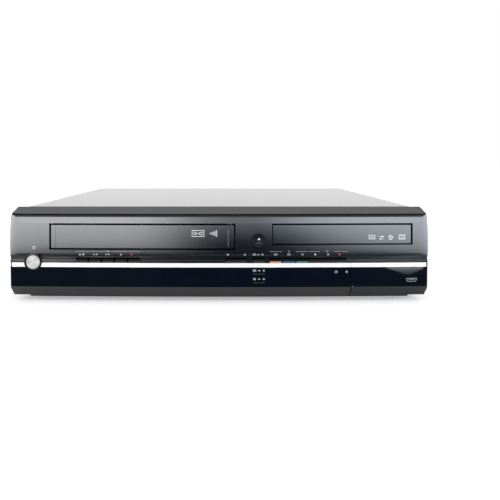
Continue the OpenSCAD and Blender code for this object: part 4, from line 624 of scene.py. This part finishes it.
# disc tray front: a drive, two arrows, a disc and a framed disc
TRAY_SIGNS = ((372, 237), (381.5, 237.5), (390.5, 237.5), (402, 237))
drive_at, swap_at, disc_at, framed_at = (seen(*pixel) for pixel in TRAY_SIGNS)
x, z = swap_at
plate = drive_sign(*drive_at, 4.4)
plate += [arrow_right(x + 1.3, z + 1, 2.2), bar(x - 2.6, x + 0.8, z + 0.8, z + 1.2)]
plate += [arrow_left(x - 1.3, z - 1.4, 2.2), bar(x - 0.8, x + 2.6, z - 1.6, z - 1.2)]
plate += disc_sign(*disc_at, 4.6) + frame_of(*framed_at, 6.4, 4.6, 0.6) + disc_sign(*framed_at, 2.6)
inlays("tray_signs", plate, face_at, "tray", print_white)

# window: two rows of signs, each over a dark lamp, and two signs at the right
PANE = 0.5                                    # how deep the window lies behind the crown
WINDOW_COLUMNS = (254.5, 259.2, 263.8)
WINDOW_ROWS = ((270.6, cassette_sign), (279.1, drive_sign))
LAMP_ROWS = (273.9, 282.8)
DRIVE_SPOT, DISC_SPOT = (336.2, 271.8), (346.7, 271.8)
glass = []
for row, from_sign in WINDOW_ROWS:
    source, middle, target = (seen(column, row, PANE) for column in WINDOW_COLUMNS)
    glass += from_sign(*source, 1.8) + to_sign(*middle, 1.7) + disc_sign(*target, 1.9)
glass += drive_sign(*seen(*DRIVE_SPOT, PANE), 1.8) + disc_sign(*seen(*DISC_SPOT, PANE), 2.0)
inlays("window_signs", glass, window_at, "cabinet", print_white)
lamps = []
for row in LAMP_ROWS:
    x, z = seen(WINDOW_COLUMNS[1], row, PANE)
    lamps.append(bar(x - 5.8, x + 5.8, z - 0.65, z + 0.65))
inlays("window_lamps", lamps, window_at, "cabinet", lamp_dark)

# eject button: an arrow over a line
EJECT_SIGN = (259, 239.2)
x, z = seen(*EJECT_SIGN)
sign, line = arrow_up(x, z + 0.2, 2.2), bar(x - 2.8, x + 2.8, z - 4.3, z - 3.9)
inlays("eject_sign", [sign], button_at, "disc_eject_button", print_white)
inlays("eject_line", [line], button_at, "disc_eject_button", print_faint)

# flap: a small arrow at the finger notch and the outline of a socket
NOTCH, PORT = (352.4, 286.2), (411.5, 279.8)
notch = arrow_right(*seen(*NOTCH, 0.8), 1.3)
inlays("flap_notch", [notch], notch_at, "socket_flap", print_grey)
x, z = seen(*PORT, PANE)
corners = [(5.2, 0.0), (5.2, 1.5), (-5.2, 1.5), (-5.2, 0.0), (-3.6, -1.5), (3.6, -1.5), (5.2, 0.0)]
corners = [(x + right, z + up) for right, up in corners]
port = [stroke(a, b, 0.5) for a, b in zip(corners, corners[1:])] + [bar(x - 3.2, x + 3.2, z + 0.1, z + 0.5)]
inlays("flap_sign", port, window_at, "socket_flap", print_grey)

# ---------------------------------------------------------------- painted shade at the gaps, and small hardware

# dull black strips of painted shade line the two openings and lie on the tops of the door and the tray, so
# that the gaps round the doors are dark
shade_strip_black = grained("shade_strip_black", PAINTED_SHADE_BLACK, 1.0, grain=1500, height=0.1, level=0.0)
WALL, EDGE = 3.9, 0.25                        # how deep the shade strips reach and how far back they begin, in mm
GAP = 1.0                                     # between a door and its opening, in mm
LIFT, SINK_IN = 0.06, 0.02                    # how far a shade strip stands out of what carries it and goes into it
HEAD = 82.6                                   # the height of the openings' upper edges
# sides, sill and upper edge, and thickness of the cassette door and of the tray's front
DOOR_LEFT, DOOR_RIGHT, DOOR_SILL, DOOR_TOP, DOOR_T = -172.3, 15.7, 55.7, 81.2, 2.4
TRAY_LEFT, TRAY_RIGHT, TRAY_SILL, TRAY_TOP, TRAY_T = 55.0, 197.0, 61.2, 81.3, 2.1
FLAP_LEFT = 135.0


def lying_shade_strip(name, left, right, height, depth, body):
    """A strip of painted shade on a level face at a height: its front and back edges follow the bow, in (x,
    y).
    """
    x = np.linspace(left, right, 13) * MM
    front, back = (FRONT + bow(x) + d * MM for d in (EDGE, depth))
    strip = np.concatenate([np.stack([x, front], 1), np.stack([x, back], 1)[::-1]])
    plates(name, [strip], height - SINK_IN, height + LIFT, body, shade_strip_black, upright=False)


def standing_shade_strip(name, left, low, high, depth, body):
    """A strip of painted shade on an upright side wall of an opening, from a left edge in x."""
    strip = bar(left, left + LIFT + SINK_IN, low, high)
    inlays(name, [strip], lambda z: 0, body, shade_strip_black, -EDGE, depth)


for name, left, right, sill in (("door", DOOR_LEFT - GAP, DOOR_RIGHT + GAP, DOOR_SILL),
                                ("tray", TRAY_LEFT - GAP, TRAY_RIGHT + GAP, TRAY_SILL)):
    lying_shade_strip(name + "_sill_shade", left, right, sill, WALL, "cabinet")
    standing_shade_strip(name + "_left_shade", left - SINK_IN, sill + 0.1, HEAD, WALL, "cabinet")
    standing_shade_strip(name + "_right_shade", right - LIFT, sill + 0.1, HEAD, WALL, "cabinet")
lying_shade_strip("door_top_shade", DOOR_LEFT + 0.1, DOOR_RIGHT - 0.1, DOOR_TOP, DOOR_T, "cassette_flap")
lying_shade_strip("tray_top_shade", TRAY_LEFT + 0.1, TRAY_RIGHT - 0.1, TRAY_TOP, TRAY_T, "tray")
standing_shade_strip("tray_edge_shade", TRAY_LEFT - LIFT, TRAY_SILL + 1.1, TRAY_TOP - 0.1, TRAY_T, "tray")


def long_bar(left, right, low, high, parts=20):
    """A bar too long to lie flat on the bowed front, as a row of short ones."""
    x = np.linspace(left, right, parts + 1)
    return [bar(a, b, low, high) for a, b in zip(x, x[1:])]


def painted_shade_edge(name, shapes, depth_at, body, sunk=0.1):
    """The same dull black, painted as shade a little way round the edge of a moulding, where the gap beside
    it lies in shadow.
    """
    inlays(name, shapes, depth_at, body, shade_strip_black, 0.04, sunk)


SHADE_BAND = 0.4                                    # height of the painted shade along the top of a door
EDGE_LOW = 57.5                               # lower end of the painted shade at the cassette door's sides
# painted shade along the door's top and sides, the tray's top and right side, the edge under the tray and the
# flap's left edge
shade_band_low = DOOR_TOP - SHADE_BAND
door_shade_edges = long_bar(DOOR_LEFT, DOOR_RIGHT, shade_band_low, DOOR_TOP)
door_shade_edges += [bar(DOOR_LEFT, DOOR_LEFT + 1.0, EDGE_LOW, shade_band_low)]
door_shade_edges += [bar(DOOR_RIGHT - 0.5, DOOR_RIGHT, EDGE_LOW, shade_band_low)]
painted_shade_edge("door_shade_edges", door_shade_edges, face_at, "cassette_flap")
shade_band_low = TRAY_TOP - SHADE_BAND
tray_shade_edges = long_bar(TRAY_LEFT, TRAY_RIGHT, shade_band_low, TRAY_TOP)
tray_shade_edges += [bar(TRAY_RIGHT - 1.0, TRAY_RIGHT, TRAY_SILL + 1.0, shade_band_low)]
painted_shade_edge("tray_shade_edges", tray_shade_edges, face_at, "tray")
sill_shade_edge = long_bar(TRAY_LEFT - GAP, TRAY_RIGHT + GAP, TRAY_SILL - 0.5, TRAY_SILL)
painted_shade_edge("tray_sill_shade", sill_shade_edge, face_at, "cabinet")
painted_shade_edge("flap_shade_edge", [bar(FLAP_LEFT, FLAP_LEFT + 0.7, 5.1, 17.7)], chin_at, "socket_flap", 0.2)


def ringed(name, colour):
    """Coloured plastic of a socket's collar."""
    return grained(name, colour, 0.4, grain=900, height=0.03, spread=0.04)


COLLAR_COLOURS = {
    "yellow": (0.75, 0.52, 0.03), "white": (0.72, 0.72, 0.70), "red": (0.52, 0.03, 0.03),
    "green": (0.04, 0.34, 0.10), "blue": (0.03, 0.10, 0.42), "orange": (0.70, 0.22, 0.02),
}
collar_finish = {colour: ringed("collar_" + colour, base) for colour, base in COLLAR_COLOURS.items()}
gold = brushed("gold", (0.83, 0.62, 0.28), 0.25, along=(300, 40, 300), spread=0.08)
tin = brushed("tin", (0.72, 0.73, 0.74), 0.3, along=(60, 60, 60), spread=0.08)
paper = grained("paper", (0.62, 0.62, 0.60), 0.6, grain=700, height=0.04, spread=0.03)

# depths behind the front's crown, in mm
FRONT_SOCKETS_Y = 23.6
PHONO_Y = 350.6
SCART_FLOOR_Y = 340.6
REAR_Y = 350.0
COLLAR_RADII = (4.25, 6.0)
FRONT_SOCKETS = (("yellow", 161), ("white", 174), ("red", 187))
FRONT_SOCKETS_Z = 29
for colour, x in FRONT_SOCKETS:
    collars("front_collar_" + colour, [(x, FRONT_SOCKETS_Z)], COLLAR_RADII,
            (FRONT_SOCKETS_Y - 0.6, FRONT_SOCKETS_Y + 0.2), "cabinet", collar_finish[colour])


def phono(column, row):
    """Place of a rear socket: four columns, counted from 0, and a row below (-1) and above (1)."""
    return -56 + (column - 1.5) * 14.4, 32 + 8.6 * row


REAR_SOCKETS = {
    "yellow": [phono(0, 1), phono(0, -1)], "white": [phono(1, 1)], "red": [phono(2, 1), phono(3, -1)],
    "orange": [phono(3, 1)], "green": [phono(1, -1)], "blue": [phono(2, -1)],
}
for colour, spots in REAR_SOCKETS.items():
    collars("rear_collar_" + colour, spots, COLLAR_RADII, (PHONO_Y - 0.2, PHONO_Y + 0.6), "cabinet",
            collar_finish[colour])


def contacts(x, z, pitch=3.8, spread=2.4, half=(0.8, 0.25)):
    """Two rows of ten flat blades round the middle of a 21-pin socket."""
    spots = [(x + pitch * (k - 4.5), z + row * spread) for row in (-1, 1) for k in range(10)]
    return [bar(a - half[0], a + half[0], b - half[1], b + half[1]) for a, b in spots]


SCART_X, SCART_ROWS = 45, (25, 45)
blades = [blade for z in SCART_ROWS for blade in contacts(SCART_X, z)]
plates("scart_contacts", blades, SCART_FLOOR_Y - 0.3, SCART_FLOOR_Y + 6.5, "cabinet", gold)


def wave_sign(x, z, w):
    """Alternating current: one period of a sine drawn as short strokes."""
    t = np.linspace(0, 1, 13)
    line = np.stack([x + (t - 0.5) * w, z + w / 5 * np.sin(2 * np.pi * t)], 1)
    return [stroke(a, b, 0.5) for a, b in zip(line, line[1:])]


def right_arrow(x, z):
    """An arrow to the right on a shaft of 5 mm, its head's middle at (x, z)."""
    return [arrow_right(x, z, 3), bar(x - 6, x - 1, z - 0.3, z + 0.3)]


def left_arrow(x, z):
    """The same to the left."""
    return [arrow_left(x, z, 3), bar(x + 1, x + 6, z - 0.3, z + 0.3)]


def aerial_sign(x, z):
    """A mast with two arms, its fork at (x, z)."""
    arms = [stroke((x, z), (x + side * 2.6, z + 3), 0.5) for side in (-1, 1)]
    return [bar(x - 0.3, x + 0.3, z - 4.5, z)] + arms


def screen_sign(x, z):
    """A screen on its foot."""
    return frame_of(x, z, 9, 5, 0.5) + [bar(x - 2, x + 2, z - 3.6, z - 3.1)]


rear_marks = wave_sign(185, 39, 8) + aerial_sign(-118, 58) + right_arrow(-85, 54) + left_arrow(-27, 54)
rear_marks += right_arrow(42, 60) + left_arrow(52, 60) + screen_sign(-6, 30)
plates("rear_signs", rear_marks, REAR_Y - 0.2, REAR_Y + 0.05, "cabinet", print_white)

# inside: a blank plate on the hard disk and the aluminium ends of the capacitors
DISK_TOP = 42.0
drive_plate = bar(86, 166, 126 + FRONT / MM, 176 + FRONT / MM)
plates("drive_label", [drive_plate], DISK_TOP - 0.1, DISK_TOP + 0.2, "cabinet", paper,
       upright=False)
# capacitors: place in x and behind the front's crown, radius and top, all in mm
cans = [(152, 296, 10, 46.5), (92, 330, 5, 34.5), (104, 334, 5, 34.5), (148, 334, 6, 26.5)]
cans += [(-80 + 9 * k, 296, 2.5, 20.9) for k in range(6)]
for k, (x, y, radius, top) in enumerate(cans):
    end = disc(x, y + FRONT / MM, radius * 0.84, 24)
    plates("can_end_%02d" % k, [end], top - 0.3, top + 0.06, "cabinet", tin, upright=False)

# ---------------------------------------------------------------- studio

def stage_mesh(name, points, faces, material):
    """A mesh of the studio, which is no part of the object."""
    mesh = bpy.data.meshes.new(name)
    mesh.from_pydata(points, [], faces)
    mesh.materials.append(material)
    item = bpy.data.objects.new(name, mesh)
    bpy.context.scene.collection.objects.link(item)
    return item


def bright_rays(tree, glossy=1.0):
    """1 for camera and transmission rays, a share of it for glossy rays and 0 for the rest."""
    path = tree.nodes.new("ShaderNodeLightPath")
    total = path.outputs["Is Camera Ray"]
    for kind, share in (("Is Transmission Ray", 1.0), ("Is Glossy Ray", glossy)):
        total = sums(tree, "MULTIPLY_ADD", path.outputs[kind], share, total)
        total.node.use_clamp = True
    return total


def light_room():
    """A white world: full brightness where it is seen or mirrored, half of it as light."""
    world = bpy.data.worlds.new("studio")
    bpy.context.scene.world = world
    world.use_nodes = True
    tree = world.node_tree
    sky = tree.nodes["Background"]
    sky.inputs["Color"].default_value = (1, 1, 1, 1)
    tree.links.new(between(tree, bright_rays(tree), 0.0, 1.0, 0.50, 1.0), sky.inputs["Strength"])


def floor_finish():
    """Pale paint that glows a little, more so further off, so that the floor fades into the backdrop."""
    finish, tree, shader = new_finish("floor_paint", (0.82, 0.82, 0.82), 0.9, level=0.0)
    shader.inputs["Emission Color"].default_value = (1, 1, 1, 1)
    place = tree.nodes.new("ShaderNodeTexCoord")
    far_off = tree.nodes.new("ShaderNodeVectorMath")
    far_off.operation = "LENGTH"
    tree.links.new(place.outputs["Object"], far_off.inputs[0])
    rise = between(tree, far_off.outputs["Value"], 0.28, 1.3, 0.38, 0.85)
    tree.links.new(sums(tree, "MULTIPLY", bright_rays(tree, 0.3), rise), shader.inputs["Emission Strength"])
    return finish


CEILING = 2.2                                 # height of the softbox's upper end, in metres
LYING_GAIN = 0.5 / 0.045                      # brightness of its part that lies on the floor
OVERHEAD_GAIN = 5.0
SHEEN_GAIN = 15.0
# stops of brightness: by the distance from the object, down the sheen, and across the overhead part
REACH = [(0.20, 0.01), (0.222, 0.015), (0.24, 0.03), (0.252, 0.06), (0.262, 0.18), (0.28, 0.39),
         (0.304, 0.45), (0.345, 0.58), (0.405, 0.67), (0.535, 0.80), (0.64, 0.88), (0.75, 0.95), (1.0, 1.0)]
SHEEN_FALL = [(0.0, 0.10), (0.25, 0.17), (0.45, 0.33), (0.7, 0.52), (0.92, 1.0)]
TOP_GLOW = [(0.05, 0.60), (0.13, 0.34), (0.18, 0.34), (0.34, 0.12), (0.43, 0.07), (0.49, 0.04), (0.55, 0.022),
            (0.62, 0.012), (0.65, 0.03), (0.69, 0.05), (0.76, 0.08), (0.81, 0.20), (0.87, 0.30), (0.95, 0.32)]


def softbox_finish():
    """Light whose brightness falls towards the object and in its middle, as a pattern fixed in the room."""
    finish = bpy.data.materials.new("softbox")
    finish.use_nodes = True
    tree = finish.node_tree
    tree.nodes.clear()

    def calc(operation, *values):
        return sums(tree, operation, *values)

    def span(value, low, high, at_low=0.0, at_high=1.0):
        return between(tree, value, low, high, at_low, at_high)

    def swapped(share, a, b):
        """Goes from a to b as a share goes from 0 to 1: a + share (b - a)."""
        return calc("MULTIPLY_ADD", share, calc("SUBTRACT", b, a), a)

    # a spot's distance before the front, its run aside for each metre away from the camera's place, and its
    # distance from the object's front edge, all in metres
    x, y, z = places(tree)
    before = calc("SUBTRACT", FRONT, y)
    slope = calc("DIVIDE", calc("SUBTRACT", x, EYE[0]), calc("ADD", before, FRONT - EYE[1]))
    beside = calc("MAXIMUM", calc("SUBTRACT", calc("ABSOLUTE", x), 0.2), 0.0)
    ahead = calc("SQRT", calc("ADD", calc("MULTIPLY", before, before), calc("MULTIPLY", beside, beside)))

    # the dark middle: 1 - depth exp(-(|side| / width) ^ power), narrower and softer on the right
    side = calc("SUBTRACT", slope, 0.07)
    to_right = calc("GREATER_THAN", side, 0.0)
    width = swapped(to_right, 0.203, span(ahead, 0.3, 0.65, 0.213, 0.141))
    power = swapped(to_right, 3.5, span(ahead, 0.3, 0.65, 2.6, 1.5))
    bell = calc("POWER", calc("DIVIDE", calc("ABSOLUTE", side), width), power)
    dip = calc("EXPONENT", calc("MULTIPLY", bell, -1.0))
    across = calc("SUBTRACT", 1.0, calc("MULTIPLY", dip, span(ahead, 0.33, 0.62, 1.0, 0.70)))
    glow = calc("MULTIPLY", calc("MULTIPLY", across, ramp(tree, ahead, REACH, "LINEAR")), LYING_GAIN)

    # a small bright wedge that shows as the sheen hanging at the top right of the flap
    slant = calc("MULTIPLY", calc("ABSOLUTE", calc("SUBTRACT", slope, 0.4026)), 0.95)
    wedge = span(calc("SUBTRACT", before, slant), 0.103, 0.108)
    fall = ramp(tree, span(before, 0.10, 0.15), SHEEN_FALL, "LINEAR")
    sheen = calc("MULTIPLY", calc("MULTIPLY", wedge, fall), span(before, 0.155, 0.165, 1.0, 0.0))
    glow = calc("MULTIPLY_ADD", sheen, SHEEN_GAIN, glow)

    # the lower part that stands is plain white, as the room behind the object is
    glow = swapped(span(z, 0.25, 0.4), glow, 1.0)

    # high up and overhead it goes by the column alone: bright left and right, nearly dark right of the middle
    overhead = calc("GREATER_THAN", z, CEILING - 0.01)
    column = swapped(overhead, slope, calc("DIVIDE", x, 2.59))
    top_glow = ramp(tree, span(column, -0.5, 0.5), TOP_GLOW, "LINEAR")
    glow = swapped(span(z, 0.9, 1.7), glow, calc("MULTIPLY", top_glow, OVERHEAD_GAIN))

    # its light is a little bluer on the right
    hue = ramp(tree, span(slope, -0.2, 0.2), [(0.2, (0.98, 0.98, 1.0)), (0.7, (0.84, 0.92, 1.0))])
    emit = tree.nodes.new("ShaderNodeEmission")
    tree.links.new(hue, emit.inputs["Color"])
    tree.links.new(glow, emit.inputs["Strength"])
    out = tree.nodes.new("ShaderNodeOutputMaterial")
    tree.links.new(emit.outputs[0], out.inputs[0])
    return finish


light_room()
stage_mesh("floor", [(-6, -6, 0), (6, -6, 0), (6, 6, 0), (-6, 6, 0)], [(0, 1, 2, 3)], floor_finish())

# a long softbox in front, met only by glossy rays: it lies on the floor, stands up at its far end and comes
# back overhead
WIDE, LOW = 3.0, 0.002                        # half width, and height above the floor
near, far, over = FRONT - 0.02, FRONT - 2.2, FRONT + 0.6
profile = ((near, LOW), (far, LOW), (far, CEILING), (over, CEILING))
corners = [(x, y, z) for y, z in profile for x in (-WIDE, WIDE)]
card = stage_mesh("softbox", corners, [(k, k + 2, k + 3, k + 1) for k in (0, 2, 4)], softbox_finish())
card.visible_camera = card.visible_diffuse = card.visible_shadow = False
card.visible_transmission = card.visible_volume_scatter = False


def lamp(name, place, aim, size, power):
    """A rectangular light that glossy rays don't meet, turned towards a spot."""
    light = bpy.data.lights.new(name, "AREA")
    light.shape = "RECTANGLE"
    light.size, light.size_y = size
    light.energy = power
    item = bpy.data.objects.new(name, light)
    bpy.context.scene.collection.objects.link(item)
    item.location = place
    item.rotation_euler = (Vector(aim) - Vector(place)).to_track_quat("-Z", "Y").to_euler()
    item.visible_glossy = False


lamp("overhead", (0, 0.1, 1.9), (0, 0, 0), (2.4, 2.4), 8)
lamp("front_bank", (0, -1.5, 1.3), (0, -0.1, 0.03), (2.6, 1.2), 26)

camera = bpy.data.cameras.new("camera")
camera.lens, camera.sensor_width = 34.75, 36
camera.shift_x, camera.shift_y = (250 - AXIS[0]) / 500, (AXIS[1] - 250) / 500
camera.clip_start = 0.01
eye = bpy.data.objects.new("camera", camera)
bpy.context.scene.collection.objects.link(eye)
eye.location = EYE
eye.rotation_euler = (np.pi / 2, 0, 0)
bpy.context.scene.camera = eye
bpy.context.scene.view_settings.view_transform = "Standard"
